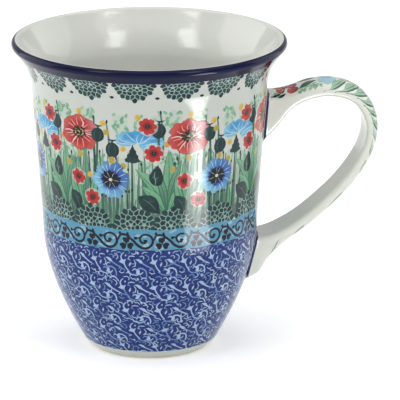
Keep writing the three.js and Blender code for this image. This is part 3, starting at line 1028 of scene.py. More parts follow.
def blade(brush, tip, width, bend, tone=LEAF_FRESH):
    """A broad light leaf with darker edges and midrib."""
    x, y = tip
    brush.fill(leaf((0, -0.6), (x * 1.01, y * 1.01), width + 0.9, bend, 0.55, 8), LEAF_MID, 0.85)
    brush.fill(leaf((0, 0), tip, width, bend, 0.55, 8), Fade(tone, LEAF_PALE, (0, 0), (x, y * 1.2)), 0.95)
    middle = (x * 0.5 - bend * y / max(np.hypot(x, y), 1) * 0.9, y * 0.5)
    brush.stroke([(0, 0), middle, (x * 0.96, y * 0.96)], [0.6, 0.4, 0.2], LEAF_MID, 0.7)


HAZE_FOOT = 57
HAZES = [
    # top height, depth and number of its waves, their phase, colour, cover, ink
    (83, 1.8, 13, 0.5, LEAF_PALE, 0.3, 0.3),
    (75, 2.0, 23, 1.0, HAZE_GREEN, 0.5, 0.4),
    (66, 1.6, 27, 2.0, LEAF_GREY, 0.5, 0.7),
    (62.5, 1.2, 31, 0.0, LEAF_DARK, 0.6, 0.8),
]
GRASS_STROKES = 330
GRASS_TONES = [
    LEAF_GREY, LEAF_GREY, LEAF_MID, LEAF_MID, LEAF_MID, LEAF_PALE, LEAF_DARK, LEAF_FRESH,
    HAZE_GREEN,
]


def paint_meadow_ground(rng):
    """The haze and the upright strokes that stand behind the flowers all the way round."""
    for top, wave, waves, phase, tone, cover, ink in HAZES:
        coat_painting.add(band_shape(HAZE_FOOT, top, 0, wave, waves, phase), tone, cover, ink)
    for k in range(GRASS_STROKES):
        spot = cup_brush(360 / GRASS_STROKES * k + rng.uniform(-0.6, 0.6), MEADOW_BASE)
        height = rng.uniform(12, 32) if k % 3 else rng.uniform(6, 14)
        grass(spot, rng, rng.choice(GRASS_TONES), height, rng.uniform(0.55, 1.25), rng.uniform(-1.5, 1.5))


# Places in a meadow unit: x from its middle line, then height above the table
SPRIGS = [
    # x, height, leaves
    (-3.0, 98.2, 16), (14.8, 99.6, 15), (-15.2, 99.2, 14), (-11.5, 83.0, 12), (10.4, 99.4, 8),
    (4.5, 98.0, 12),
    (-19.0, 86.0, 12), (16.2, 83.5, 12), (-15.5, 88.5, 10), (5.0, 80.0, 10), (-2.0, 92.0, 8), (12.0, 84.0, 9),
]
TALL_STEMS = [
    # x, foot height, tip height, lean
    (-7.3, 84, 97.9, -0.6), (11.7, 84, 102.1, -0.8), (-13.4, 78, 99.2, 0.5), (-19.5, 70, 88, 0.8),
    (19.8, 60, 86, 0.2), (17.4, 62, 84, -0.5), (-5.2, 62, 84, 0.3), (22.4, 60, 87, 0.4), (24.6, 62, 85, 0.0),
    (-10.6, 62, 86, -0.4), (-12.6, 60, 84, 0.3), (0.6, 62, 83, 0.2), (4.4, 60, 82, -0.3), (15.6, 64, 82, 0.4),
]
BLADES = [
    # root x, root height, then the tip's place from the root, width, bend
    (13.4, 61.5, 0.4, 26, 4.0, -0.5), (13.4, 61.5, -11.4, 18.5, 4.4, -2.6),
    (13.4, 61.5, -9.6, 12.2, 3.2, -1.2), (13.4, 61.5, 5.2, 22, 2.4, 0.9),
    (13.4, 61.5, 9.5, 15.5, 3.0, 1.6), (-17.5, 60.5, -3.0, 23, 3.0, 0.6),
    (-17.5, 60.5, 4.4, 17, 2.6, -0.8), (13.4, 61.5, -4.6, 20, 2.2, -0.8),
    (-17.5, 60.5, 1.0, 27, 2.4, 0.3), (-17.5, 60.5, -6.2, 16, 2.6, 1.2),
]
POPPY_OFFSET = 21.2
YELLOW_SPOTS = [
    # x, height, colour
    (2.8, 100.2, YELLOW), (21.4, 100.4, YELLOW), (-8.6, 93.8, YELLOW_DEEP), (-2.0, 87.6, YELLOW),
    (-2.3, 81.3, YELLOW_DEEP), (13.2, 89.8, ORANGE), (15.6, 79.8, YELLOW_DEEP), (-18.8, 84.0, YELLOW_DEEP),
    (-15.4, 76.4, YELLOW), (-9.2, 97.2, YELLOW), (-6.5, 83.2, YELLOW_DEEP),
]


def spot_in(middle, rng, x, height, turn=0.0, scale=1.0):
    """A spot in a meadow unit, set by hand and so never quite in the same place."""
    return middle.at(x + rng.uniform(-0.3, 0.3), height - MEADOW_BASE + rng.uniform(-0.3, 0.3), turn, scale)


STEM_TONES = [LEAF_MID, LEAF_MID, LEAF_GREY, LEAF_DARK]
WIDE_BLADE = 2.5


def meadow_leaves(middle, rng):
    """The sprigs, stems and leaves of one repeat, which lie behind every flower."""
    for x, height, leaves in SPRIGS:
        sprig(spot_in(middle, rng, x, height), rng, leaves, 2.0 + leaves * 0.05)
    for x, foot, tip, lean in TALL_STEMS:
        rise = tip - foot
        stem = spot_in(middle, rng, x, foot)
        path = [(0, 0), (0.2, rise * 0.5), (lean, rise)]
        stem.stroke(path, [1.05, 0.85, 0.5], rng.choice(STEM_TONES), 0.9)
        middle.at(x + lean, tip - MEADOW_BASE).fill(oval(0, 0, 0.4, 0.8, 0, 8), LEAF_DARK)
    for x, root, tip_x, tip_y, width, bend in BLADES:
        tone = LEAF_FRESH if width > WIDE_BLADE else LEAF_MID
        blade(middle.at(x, root - MEADOW_BASE), (tip_x, tip_y), width, bend, tone)
    low_leaf(spot_in(middle, rng, 7.0, 66.6))
    low_leaf(spot_in(middle, rng, 19.6, 66.6, -64, 0.95))
    low_leaf(spot_in(middle, rng, -21.6, 66.0, -20, 0.8))


def flower_stalks(flower, rng):
    """The bundle of stalks under the large blue flower, and the dark buds beside it."""
    for k in range(6):
        x = -3.6 + 1.55 * k
        y = -6.9 + 0.28 * abs(k - 2) + rng.uniform(-0.2, 0.2)
        path = [(x, y), (x * 0.95, y - 4), (x * 0.9 + rng.uniform(-0.5, 0.5), y - 8)]
        flower.stroke(path, [0.8, 1.05, 0.7], LEAF_GREY if k % 2 else LEAF_MID, 0.9)
        flower.fill(oval(x, y, 0.42, 0.6, 0, 8), LEAF_DEEP)
    for x, y in ((5.6, -4.2), (6.8, -4.2), (7.8, -3.6), (6.6, 4.4)):
        flower.fill(oval(x, y, 0.4, 0.6, 0, 7), LEAF_DEEP)


def meadow_flowers(middle, rng):
    """The pods and flowers of one repeat, drawn about its middle line. It is 42 mm wide at the front."""
    bud(spot_in(middle, rng, -11.3, 92.4), rng, 0.95, 14)
    bud(spot_in(middle, rng, -6.3, 87.0), rng, 1.0, 10)
    side_flower(spot_in(middle, rng, 2.9, 91.4), rng)
    tree_cup(spot_in(middle, rng, 1.3, 86.0))
    bud(spot_in(middle, rng, 10.5, 95.0), rng, 0.98, 5)
    for x, height, tone in YELLOW_SPOTS:
        yellow_dot(spot_in(middle, rng, x, height, 0, rng.uniform(0.75, 0.95)), rng, tone)
    drop_leaf(spot_in(middle, rng, 9.1, 77.6, -4))
    small_flower(spot_in(middle, rng, 6.2, 97.0), 3.3, rng)
    small_flower(spot_in(middle, rng, 8.6, 86.0), 3.4, rng)
    # this flower's petals fade to a pink painted highlight in every repeat
    small_flower(spot_in(middle, rng, -20.2, 74.9), 3.0, rng, POPPY_RED, POPPY_PINK_HIGHLIGHT)
    small_flower(spot_in(middle, rng, -14.6, 67.6), 3.0, rng)
    flower = spot_in(middle, rng, -7.1, 75.5)
    flower_stalks(flower, rng)
    cornflower(flower, rng)
    poppy(spot_in(middle, rng, POPPY_OFFSET, 92.4), rng)


# view angles of each unit's large poppy, and of each bush
UNIT_ANGLES = [-91.8, -36.3, 19.2, 74.7, 139.2, 203.7]
BUSH_ANGLES = [-53, -30.8, -7.4, 13.4, 38.1, 62.8, 85, 107, 129, 151, 173, 195, 217, 239, 261, 283]
MIDDLE_OF_MEADOW = 80


def paint_meadow():
    paint_meadow_ground(random.Random(11))
    degrees_per_mm = 180 / (math.pi * float(outside.radius(outside.at_height(MIDDLE_OF_MEADOW))))
    middles = [cup_brush(angle - POPPY_OFFSET * degrees_per_mm, MEADOW_BASE) for angle in UNIT_ANGLES]
    for layer in (meadow_leaves, meadow_flowers):
        for k, middle in enumerate(middles):
            layer(middle, random.Random(100 + k))


def paint_bushes():
    rng = random.Random(23)
    for angle in BUSH_ANGLES:
        height = BUSH_LINE + rng.uniform(-0.2, 0.2)
        leaf_mound(cup_brush(angle, height, turn=rng.uniform(-0.04, 0.04)), rng)


paint_vine_ground()
paint_meadow()
paint_bushes()
paint_scroll_band()
paint_scallops()


# ---- Painted solids ----

def boundary_row(points, v):
    """Indices of the points on the sheet's edge at that v, left to right."""
    row = np.nonzero(np.abs(points[:, 1] - v) < 1e-6)[0]
    return row[np.argsort(points[row, 0])]


def weld_seam(points, width):
    """Each point's own index, or for a point on the right edge the index of its twin on the left edge."""
    left = np.nonzero(np.abs(points[:, 0]) < 1e-6)[0]
    right = np.nonzero(np.abs(points[:, 0] - width) < 1e-6)[0]
    target = np.arange(len(points))
    for i in right:
        gaps = np.abs(points[left, 1] - points[i, 1])
        nearest = int(np.argmin(gaps))
        if gaps[nearest] < 1e-3:
            target[i] = left[nearest]
    return target


BACK_ROWS = 12
BACK_COLUMNS = 72


def plain_sheet(points, low, high, width, height):
    """A coarse triangulation of the sheet that has the same points on its lower and upper edges."""
    inner_rows = np.linspace(0, height, BACK_ROWS + 2)[1:-1]
    edge = [tuple(points[i]) for i in low]
    edge += [(width, v) for v in inner_rows]
    edge += [tuple(points[i]) for i in high[::-1]]
    edge += [(0, v) for v in inner_rows[::-1]]
    vertices = [Vector(p) for p in edge]
    for u in np.linspace(0, width, BACK_COLUMNS + 1)[1:-1]:
        vertices += [Vector((u, v)) for v in inner_rows]
    made_points, triangles, _ = split_sheet(vertices, [list(range(len(edge)))])
    return made_points, triangles


# The bake layer keeps a strip along its foot for whatever isn't painted
BACK_STRIP = 0.06
BACK_SHARE = 0.8
WALL_HIGH = BACK_STRIP * 0.95
WALL_LOW = BACK_STRIP * 0.85
CAP_CORNERS = [[0.1, 0.01], [0.2, 0.01], [0.15, 0.03]]


class PaintedMesh:
    """The parts of a painted solid as they are gathered: its painted front first, then what closes it."""

    def __init__(self, painting, place, spacing):
        self.painting = painting
        self.size = np.array([painting.width, painting.height])
        self.points, self.triangles, self.colour, self.ink = painting.triangulate(*spacing)
        self.front, normals = place(self.points)
        self.target = weld_seam(self.points, painting.width)
        uv = self.points[self.triangles].reshape(-1, 2) / self.size
        uv[:, 1] = BACK_STRIP + (1 - BACK_STRIP) * uv[:, 1]
        self.vertices = [self.front]
        self.normals = [normals]
        self.faces = self.target[self.triangles].tolist()
        self.uvs = [uv]
        self.low = boundary_row(self.points, 0.0)
        self.high = boundary_row(self.points, painting.height)

    def add_back(self, back_place):
        """A plain back under the front, and the two narrow walls that join them."""
        width, height = self.size
        back_points, back_faces = plain_sheet(self.points, self.low, self.high, width, height)
        back, back_normals = back_place(back_points)
        back_target = weld_seam(back_points, width) + len(self.points)
        self.faces += back_target[back_faces[:, ::-1]].tolist()
        flat = back_points[back_faces[:, ::-1]].reshape(-1, 2) / self.size
        flat[:, 1] *= BACK_STRIP * BACK_SHARE
        self.uvs.append(flat)
        self.vertices.append(back)
        self.normals.append(back_normals)
        wall_vs = np.array([WALL_HIGH, WALL_LOW, WALL_LOW, WALL_HIGH])
        for row, v, outward in ((self.low, 0.0, 1), (self.high, height, -1)):
            twin = boundary_row(back_points, v)
            for a, b, c, d in zip(row, row[1:], twin, twin[1:]):
                wall = [self.target[a], back_target[c], back_target[d], self.target[b]]
                self.faces.append([int(i) for i in wall[::outward]])
                us = self.points[[a, a, b, b], 0] / width
                self.uvs.append(np.stack([us[::outward], wall_vs[::outward]], -1))

    def add_caps(self):
        """A fan of triangles over each open end."""
        for row, outward in ((self.low, -1), (self.high, 1)):
            ring = self.target[row][:-1]
            centre = sum(len(part) for part in self.vertices)
            self.vertices.append(self.front[ring].mean(0)[None])
            self.normals.append(np.array([[0.0, 0.0, 1.0]]))
            for a, b in zip(ring, np.roll(ring, -1)):
                self.faces.append([int(i) for i in ((a, b, centre) if outward > 0 else (b, a, centre))])
                self.uvs.append(np.array(CAP_CORNERS))

    def add_layers(self, mesh):
        """Writes the pigment and the bake layer onto a finished mesh."""
        rgba = np.ones((len(mesh.loops), 4))
        rgba[:, :3] = self.painting.ground
        rgba[:, 3] = 0
        rgba[:len(self.colour), :3] = self.colour
        rgba[:len(self.colour), 3] = self.ink
        pigment = mesh.color_attributes.new("pigment", "FLOAT_COLOR", "CORNER")
        pigment.data.foreach_set("color", rgba.astype(np.float32).ravel())
        layer = mesh.uv_layers.new(name="OFBake")
        layer.data.foreach_set("uv", np.vstack(self.uvs).astype(np.float32).ravel())


def painted_piece(name, painting, place, spacing, back_place, material, replaced):
    """A closed solid whose front carries the painting. place and back_place turn sheet points into surface
    points and normals. Without a back_place the two open ends are capped instead."""
    parts = PaintedMesh(painting, place, spacing)
    if back_place:
        parts.add_back(back_place)
    else:
        parts.add_caps()
    piece = new_piece(name, np.vstack(parts.vertices), parts.faces, material, replaced,
                      np.vstack(parts.normals))
    parts.add_layers(piece.data)


# ---- Materials ----

class Nodes:
    """A short way to build a node tree."""

    def __init__(self, name):
        self.material = bpy.data.materials.new(name)
        self.material.use_nodes = True
        self.tree = self.material.node_tree
        self.shader = self.tree.nodes["Principled BSDF"]

    def add(self, kind, inputs=None, **settings):
        node = self.tree.nodes.new(kind)
        for key, value in settings.items():
            setattr(node, key, value)
        for key, value in (inputs or {}).items():
            self.set(node, key, value)
        return node

    def set(self, node, key, value):
        if isinstance(value, bpy.types.NodeSocket):
            self.tree.links.new(value, node.inputs[key])
        else:
            node.inputs[key].default_value = value

    def noise(self, scale, detail=2.0, roughness=0.5):
        """Noise by place on the object, with the scale per metre."""
        place = self.add("ShaderNodeTexCoord").outputs["Object"]
        node = self.add("ShaderNodeTexNoise", {"Vector": place, "Scale": scale, "Detail": detail,
                                               "Roughness": roughness})
        return node.outputs["Fac"]

    def spread(self, value, low, high, low_out, high_out):
        """The value's range from low to high, stretched to another range."""
        node = self.add("ShaderNodeMapRange", {"Value": value, "From Min": low, "From Max": high,
                                               "To Min": low_out, "To Max": high_out})
        return node.outputs["Result"]

    def mix(self, factor, first, second, blend="MIX"):
        node = self.add("ShaderNodeMix", data_type="RGBA", blend_type=blend)
        self.set(node, 0, factor)
        self.set(node, 6, first)
        self.set(node, 7, second)
        return node.outputs[2]

    def maths(self, operation, first, second):
        node = self.add("ShaderNodeMath", operation=operation)
        self.set(node, 0, first)
        self.set(node, 1, second)
        return node.outputs[0]

    def bump(self, height, distance, strength=1.0):
        node = self.add("ShaderNodeBump", {"Height": height, "Distance": distance, "Strength": strength})
        self.set(self.shader, "Normal", node.outputs["Normal"])


def colour4(colour):
    return (*[float(c) for c in colour], 1.0)


# a real glaze is near 1.5; these keep the inks as dark as on the mug
PAINTED_GLAZE_INDEX = 1.34
COBALT_GLAZE_INDEX = 1.25
PLAIN_GLAZE_INDEX = 1.6
POOLED_TINT = (0.36, 0.48, 0.6, 1)
WARM_TINT = (0.985, 0.98, 0.955, 1)
MOST_WASH = 0.02
MOST_POOLING = 0.3
MOST_WARMTH = 0.5
FINE_RIPPLE = 0.00003


def painted_glaze(name, ground, roughness=0.09):
    """Clear glaze over pigment: the paint thins to the ground and pools darker, and the whole is faintly
    warmer in places."""
    nodes = Nodes(name)
    pigment = nodes.add("ShaderNodeAttribute", attribute_name="pigment")
    ink = pigment.outputs["Alpha"]
    thin = nodes.spread(nodes.noise(420, 3.0), 0.35, 0.72, 0.0, MOST_WASH)
    pooled = nodes.spread(nodes.noise(950, 2.0), 0.4, 0.7, 0.0, MOST_POOLING)
    washed = nodes.mix(nodes.maths("MULTIPLY", thin, ink), pigment.outputs["Color"], colour4(ground))
    deep = nodes.mix(nodes.maths("MULTIPLY", pooled, ink), washed, POOLED_TINT, "MULTIPLY")
    warm = nodes.spread(nodes.noise(35, 2.0), 0.35, 0.7, 0.0, MOST_WARMTH)
    nodes.set(nodes.shader, "Base Color", nodes.mix(warm, deep, WARM_TINT, "MULTIPLY"))
    glossy = nodes.spread(nodes.noise(160, 2.0), 0.3, 0.7, roughness * 0.8, roughness * 1.3)
    nodes.set(nodes.shader, "Roughness", glossy)
    nodes.shader.inputs["IOR"].default_value = PAINTED_GLAZE_INDEX
    nodes.bump(nodes.noise(240, 2.0), FINE_RIPPLE)
    return nodes.material


def plain_glaze(name, low, high, roughness, ripple, index=PLAIN_GLAZE_INDEX):
    """Clear glaze over one body colour with soft variation and faint specks."""
    nodes = Nodes(name)
    patch = nodes.spread(nodes.noise(28, 3.0), 0.3, 0.72, 0.0, 1.0)
    base = nodes.mix(patch, colour4(low), colour4(high))
    specks = nodes.spread(nodes.noise(1500, 1.0), 0.72, 0.8, 0.0, 0.25)
    speckled = nodes.mix(specks, base, colour4(low * 0.75))
    nodes.set(nodes.shader, "Base Color", speckled)
    glossy = nodes.spread(nodes.noise(140, 2.0), 0.3, 0.7, roughness * 0.8, roughness * 1.35)
    nodes.set(nodes.shader, "Roughness", glossy)
    nodes.shader.inputs["IOR"].default_value = index
    nodes.bump(nodes.noise(200, 2.0), ripple)
    return nodes.material


def bare_clay():
    """Unglazed fired stoneware: matt, fine-grained and a little stained."""
    nodes = Nodes("bare_clay")
    grain = nodes.spread(nodes.noise(2400, 4.0, 0.7), 0.3, 0.7, 0.0, 1.0)
    base = nodes.mix(grain, colour4(CLAY_GREY), colour4(CLAY_PALE))
    stain = nodes.spread(nodes.noise(90, 3.0), 0.45, 0.75, 0.0, 0.4)
    nodes.set(nodes.shader, "Base Color", nodes.mix(stain, base, colour4(CLAY_STAIN)))
    nodes.set(nodes.shader, "Roughness", nodes.spread(grain, 0, 1, 0.78, 0.92))
    nodes.bump(nodes.noise(2000, 4.0), 0.00008)
    return nodes.material


painted_material = painted_glaze("painted_glaze", GLAZE_WHITE)
# the strap and slip grounds are the white glaze painted lighter, as painted light
strap_material = painted_glaze("strap_glaze", STRAP_WHITE_PAINTED_LIGHTER, 0.11)
slip_material = painted_glaze("slip_glaze", STRAP_WHITE_PAINTED_LIGHTER, 0.12)
cobalt_material = plain_glaze("cobalt_glaze", RIM_COBALT, RIM_PALER, 0.06, FINE_RIPPLE, COBALT_GLAZE_INDEX)
liner_material = plain_glaze("liner_glaze_white", LINER_GREY, LINER_WHITE, 0.1, 0.00008)
base_material = plain_glaze("base_glaze_white", RECESS_CREAM, RECESS_WHITE, 0.14, 0.0001)
clay_material = bare_clay()


# ---- The cup ----

def on_cup(points, depth=0.0):
    """Sheet points on the cup's outside, sunk by the depth, with their outward normals."""
    angle = points[:, 0] / REFERENCE_RADIUS
    v = points[:, 1]
    out = outside.outward(v)
    radius = outside.radius(v) - depth * out[:, 0]
    height = outside.height(v) - depth * out[:, 1]
    spot = np.stack([radius * np.cos(angle), radius * np.sin(angle), height], -1)
    normal = np.stack([out[:, 0] * np.cos(angle), out[:, 0] * np.sin(angle), out[:, 1]], -1)
    return spot, normal


def coat_back(points):
    spot, normal = on_cup(points, COAT)
    return spot, -normal


COAT_SPACING = (2.8, 2.9)
STANDING_RING = [
    (RING_INNER_RADIUS, RING_BEVEL), (RING_INNER_RADIUS + RING_BEVEL, 0), (RING_OUTER_RADIUS - RING_BEVEL, 0),
    (RING_OUTER_RADIUS + 0.1, 0.12), (RING_OUTER_RADIUS + 0.5, 0.5),
]


def make_cup():
    """The painted coat, the lip, the liner, the recess and the clay that they cover."""
    painted_piece("decorated_coat", coat_painting, on_cup, COAT_SPACING, coat_back, painted_material,
                  ["outer_glaze"])
    whole = join(outside_run, band_run, liner_run)
    band = np.vstack([band_run, inset(band_run, COAT, whole)[::-1]])
    turned_piece("cobalt_lip", band, cobalt_material, ["rim_band"])
    liner = np.vstack([inset(liner_run, COAT, whole)[::-1], liner_run])
    turned_piece("clear_liner", liner, liner_material, ["liner_glaze"])
    recess = np.vstack([recess_run, inset(recess_run, COAT, recess_run)[::-1]])
    turned_piece("recess_coat", recess, base_material, ["base_glaze"])
    buried = COAT + COAT_CLEARANCE
    clay = np.vstack([inset(recess_run, buried, recess_run), STANDING_RING, inset(whole, buried, whole)])
    turned_piece("stoneware_cup", clay, clay_material, ["cup_body"])


make_cup()


# ---- The strap ----

STRAP_THICKNESS = 5.4
STRAP_WIDTH = 16.5
ROOT_EXTRA_WIDTH = 3.2
ROOT_SPAN = 0.14
STRAP_OUTER = [
    (38.0, 97.6), (46.5, 97.3), (53.5, 98.4), (61.5, 101.0), (71.0, 101.2), (80.0, 97.7), (85.6, 90.2),
    (86.8, 80.8), (83.3, 70.0), (74.4, 57.8), (61.5, 46.1), (51.0, 38.5), (44.6, 32.4), (40.4, 26.6),
    (32.0, 23.8),
]
STRAP_INNER = [
    (39.0, 77.5), (46.5, 83.9), (53.6, 92.0), (62.3, 95.7), (70.0, 95.9), (76.7, 93.4), (80.9, 87.6),
    (81.9, 80.8), (79.1, 72.2), (71.1, 61.3), (58.7, 50.2), (48.6, 44.1), (41.5, 41.9), (37.0, 42.0),
    (32.0, 43.0),
]
FLAT_WIDTH_SHARE = 0.78
CORNER_DEPTH_SHARE = 0.24
SIDE_DEPTH_SHARE = 0.42
CROWN_DEPTH_SHARE = 0.8
CROWN_WIDTH_SHARE = 0.7


def strap_section():
    """The strap's cross-section as (depth from the inner face, width towards +Y), from the middle of the
    inner face round by +Y, over the crown and back."""
    half = STRAP_WIDTH / 2
    thick = STRAP_THICKNESS
    flat = (0, FLAT_WIDTH_SHARE * half)
    corner = (CORNER_DEPTH_SHARE * thick, half)
    side = (SIDE_DEPTH_SHARE * thick, half)
    shoulder = (CROWN_DEPTH_SHARE * thick, half)
    edge = [
        bezier([(0, 0), flat], 8),
        bezier([flat, (0, half), corner], 12),
        bezier([corner, side], 3),
        bezier([side, shoulder, (thick, CROWN_WIDTH_SHARE * half), (thick, 0)], 30),
    ]
    near = join(*edge)
    far = near[::-1] * np.array([1, -1])
    return join(near, far)


section = strap_section()
section_steps = np.linalg.norm(np.diff(section, axis=0), axis=1)
section_along = np.concatenate([[0], np.cumsum(section_steps)])
PERIMETER = float(section_along[-1])
# the nominal length that the painting is laid out on
STRAP_LENGTH = 150.0


def strap_point(around, t):
    """A point on the strap from the distance round its section and the share of the way along it."""
    around = np.asarray(around, float) % PERIMETER
    depth = np.interp(around, section_along, section[:, 0])
    across = np.interp(around, section_along, section[:, 1])
    outer = spline_at(STRAP_OUTER, t)
    inner = spline_at(STRAP_INNER, t)
    way = unit(outer - inner)
    near_outer = depth > STRAP_THICKNESS / 2
    base = np.where(near_outer[:, None], outer, inner)
    shift = np.where(near_outer, depth - STRAP_THICKNESS, depth)
    closeness = np.maximum(0, 1 - np.minimum(t, 1 - t) / ROOT_SPAN)
    width = STRAP_WIDTH + ROOT_EXTRA_WIDTH * closeness ** 2
    x = base[:, 0] + way[:, 0] * shift
    z = base[:, 1] + way[:, 1] * shift
    return np.stack([x, across * width / STRAP_WIDTH, z], -1)


def clearance(points):
    """How far points stand out of the cup's outside, roughly, in millimetres."""
    wall = np.interp(points[:, 2], outside.points[:, 1], outside.points[:, 0])
    return np.hypot(points[:, 0], points[:, 1]) - wall


HALVINGS = 40


def strap_leaves_wall(around, wanted, upper):
    """The share of the way along at which each line of the strap has the wanted clearance from the wall."""
    inside = np.full(len(around), 0.0 if upper else 1.0)
    out = np.full(len(around), 0.2 if upper else 0.8)
    for _ in range(HALVINGS):
        middle = (inside + out) / 2
        clear = clearance(strap_point(around, middle)) > wanted
        out = np.where(clear, middle, out)
        inside = np.where(clear, inside, middle)
    return (inside + out) / 2


# how far the strap's ends lie inside the wall
SINK = -1.2
ROUND_SAMPLES = np.linspace(0, PERIMETER, 181)
strap_start = strap_leaves_wall(ROUND_SAMPLES, SINK, True)
strap_end = strap_leaves_wall(ROUND_SAMPLES, SINK, False)
NORMAL_STEP = 0.05


def surface_normals(place, points):
    """Normals from small steps on the surface; u then v turn anticlockwise seen from outside."""
    u = np.array([NORMAL_STEP, 0])
    v = np.array([0, NORMAL_STEP])
    across = place(points + u) - place(points - u)
    up = place(points + v) - place(points - v)
    return unit(np.cross(across, up))


def strap_surface(points):
    around = points[:, 0] % PERIMETER
    first = np.interp(around, ROUND_SAMPLES, strap_start)
    last = np.interp(around, ROUND_SAMPLES, strap_end)
    share = points[:, 1] / STRAP_LENGTH
    return strap_point(around, np.clip(first + (last - first) * share, 0, 1))


END_MARGIN = 0.1


def on_strap(points):
    """Sheet points on the strap with their normals, which are taken just inside its two ends."""
    inner = points.copy()
    inner[:, 1] = np.clip(inner[:, 1], END_MARGIN, STRAP_LENGTH - END_MARGIN)
    return strap_surface(points), surface_normals(strap_surface, inner)


# the strap's ground is the white glaze painted lighter, as painted light
strap_painting = Painting(PERIMETER, STRAP_LENGTH, STRAP_WHITE_PAINTED_LIGHTER)
STRAP_SPACING = (1.1, 2.0)
CROWN = PERIMETER / 2


def strap_brush(across, along, **more):
    """A brush on the outer face; across is measured from the crown towards the camera's side."""
    return Brush(strap_painting, CROWN + across, along, **more)


def strap_leaves(across, along, side, rng, strength):
    """A light leaf with dark strokes over it, sweeping from the crown round one edge of the strap."""
    spot = strap_brush(0, along)
    spot.fill(leaf((side * 0.4, 3.6), (side * across, -2.6), 4.2, side * -0.7, 0.5, 9),
              Fade(LEAF_FRESH, LEAF_PALE, (0, 3), (side * 7, -1)), 0.75 * strength, 0.5)
    bow = rng.uniform(-0.4, 0.4)
    edge = [(side * 0.8, 4.2), (side * 4.0, 3.4 + bow), (side * 7.6, 0.9 + bow), (side * across, -2.8)]
    spot.stroke(edge, [0.4, 1.0, 1.1, 0.3], Fade(LEAF_DARK, LEAF_MID, (0, 4), (side * 8, 0)), 0.9 * strength)
    vein = [(side * 2.6, 1.6), (side * 5.4, 0.6), (side * (across - 2.0), -1.8)]
    spot.stroke(vein, [0.25, 0.55, 0.25], LEAF_MID, 0.7 * strength)


# places on the strap: across from the crown, then along from the upper root
STRAP_SPRIGS = [(5.4, 3.6), (5.6, 7.6), (-6.5, 8.0), (5.8, 22.0), (6.2, 26.0), (5.6, 29.5), (-7.0, 26.0)]
STRAP_PETALS = [
    # across, along, half width, half length, turn
    (-3.5, 9.0, 3.6, 3.2, 10), (1.5, 9.5, 3.4, 3.0, -10), (3.6, 16.5, 2.8, 3.4, 10),
    (-1.5, 16.5, 3.8, 3.6, 0), (-5.6, 14.0, 2.4, 3.0, 0),
]
STRAP_FLOWER = (-1.0, 12.4)
SPRAY_END = 88
STRONG_END = 72


def paint_strap_flower(rng):
    """The red flower at the upper root, with its scratches, eye and dark leaves."""
    for k, (across, along, rx, ry, turn) in enumerate(STRAP_PETALS):
        tone = Fade(POPPY_RED if k % 2 else POPPY_LIGHT, POPPY_DEEP, (0, -2), (0, 3))
        strap_brush(across, along).fill(oval(0, 0, rx, ry, turn, 13, rng, 0.1), tone)
    for k in range(9):
        line = strap_brush(*STRAP_FLOWER).at(0, 0, k * 40 + rng.uniform(-8, 8))
        line.stroke([(1.4, 0), (3.0, 0.2), (5.0, -0.2)], [0.2, 0.36, 0.16], SCRATCH, 0.85, 0.3)
    strap_brush(*STRAP_FLOWER).fill(oval(0, 0, 1.7, 1.5, 0, 9, rng, 0.15), NEAR_BLACK, 0.9)
    crown = strap_brush(0, 0)
    for base, tip in (((4.4, 9.5), (6.6, 3.0)), ((5.4, 12.5), (7.2, 7.0)), ((-6.0, 17), (-8.6, 22))):
        crown.fill(leaf(base, tip, 1.7, 0.3), LEAF_DARK)
    crown.fill(leaf((4.6, 20.4), (1.2, 30.0), 4.2, 0.5), Fade(LEAF_DARK, LEAF_GREY, (4, 20), (1, 30)))
    crown.fill(leaf((-4.6, 20.4), (-2.2, 30.0), 4.2, -0.5), LEAF_DARK, 0.9)


def paint_strap_fan(rng):
    """The pale blue flower below the red one."""
    strap_brush(0.6, 34.5).fill(oval(0, 0, 5.8, 4.4, 0, 18, rng, 0.12), SKY_PALE, 0.65)
    strap_brush(-2.0, 34.5).fill(oval(0, 0, 3.0, 2.8, 0, 12, rng, 0.15), SKY, 0.4)
    for degrees in (-35, 0, 35, 70, 110):
        ray = strap_brush(0, 31.5, turn=math.radians(degrees))
        ray.stroke([(0, 0.6), (0.2, 3.0), (0, 5.6)], [0.2, 0.34, 0.16], STREAK, 0.8, 0.3)


def paint_strap():
    """The sprays on the outer face: flowers and leaves at the upper root, then a long leafy vine."""
    rng = random.Random(77)
    for across, along in STRAP_SPRIGS:
        sprig(strap_brush(across, along), rng, 11, 1.9)
    paint_strap_flower(rng)
    paint_strap_fan(rng)
    stem = [(0, 40), (0.4, 70), (-0.3, 100), (0.2, STRAP_LENGTH - 10)]
    strap_brush(0, 0).stroke(stem, [0.9, 0.8, 0.8, 0.6], LEAF_MID, 0.8, 1.0, 10)
    along = 39.0
    while along < STRAP_LENGTH - 12:
        reach = 9.8 if along < SPRAY_END else 8.6
        strength = 1.0 if along < STRONG_END else 0.6
        strap_leaves(reach + rng.uniform(-0.5, 0.5), along, 1, rng, strength)
        strap_leaves(reach + rng.uniform(-0.5, 0.5), along + 2.8, -1, rng, strength)
        along += rng.uniform(5.6, 6.6) if along < SPRAY_END else rng.uniform(11, 15)


paint_strap()
painted_piece("pulled_strap", strap_painting, on_strap, STRAP_SPACING, None, strap_material,
              ["handle"])


# ---- Slip joints ----

FILLET_RISE = 1.5
FILLET_SPREAD = 1.4
FILLET_HEIGHT = 3.0
FILLET_SPACING = (0.6, 0.5)
CORNER_CLEARANCE = 0.05
TANGENT_STEP = 0.4
BURIED_BY_WALL = 0.9
BURIED_BY_ROOT = 1.2
REAR_SHARE = 0.55
SLIP_LINES = [(0.98, SLIP_HALO, 0.7), (0.78, SLIP_COBALT, 1.0)]


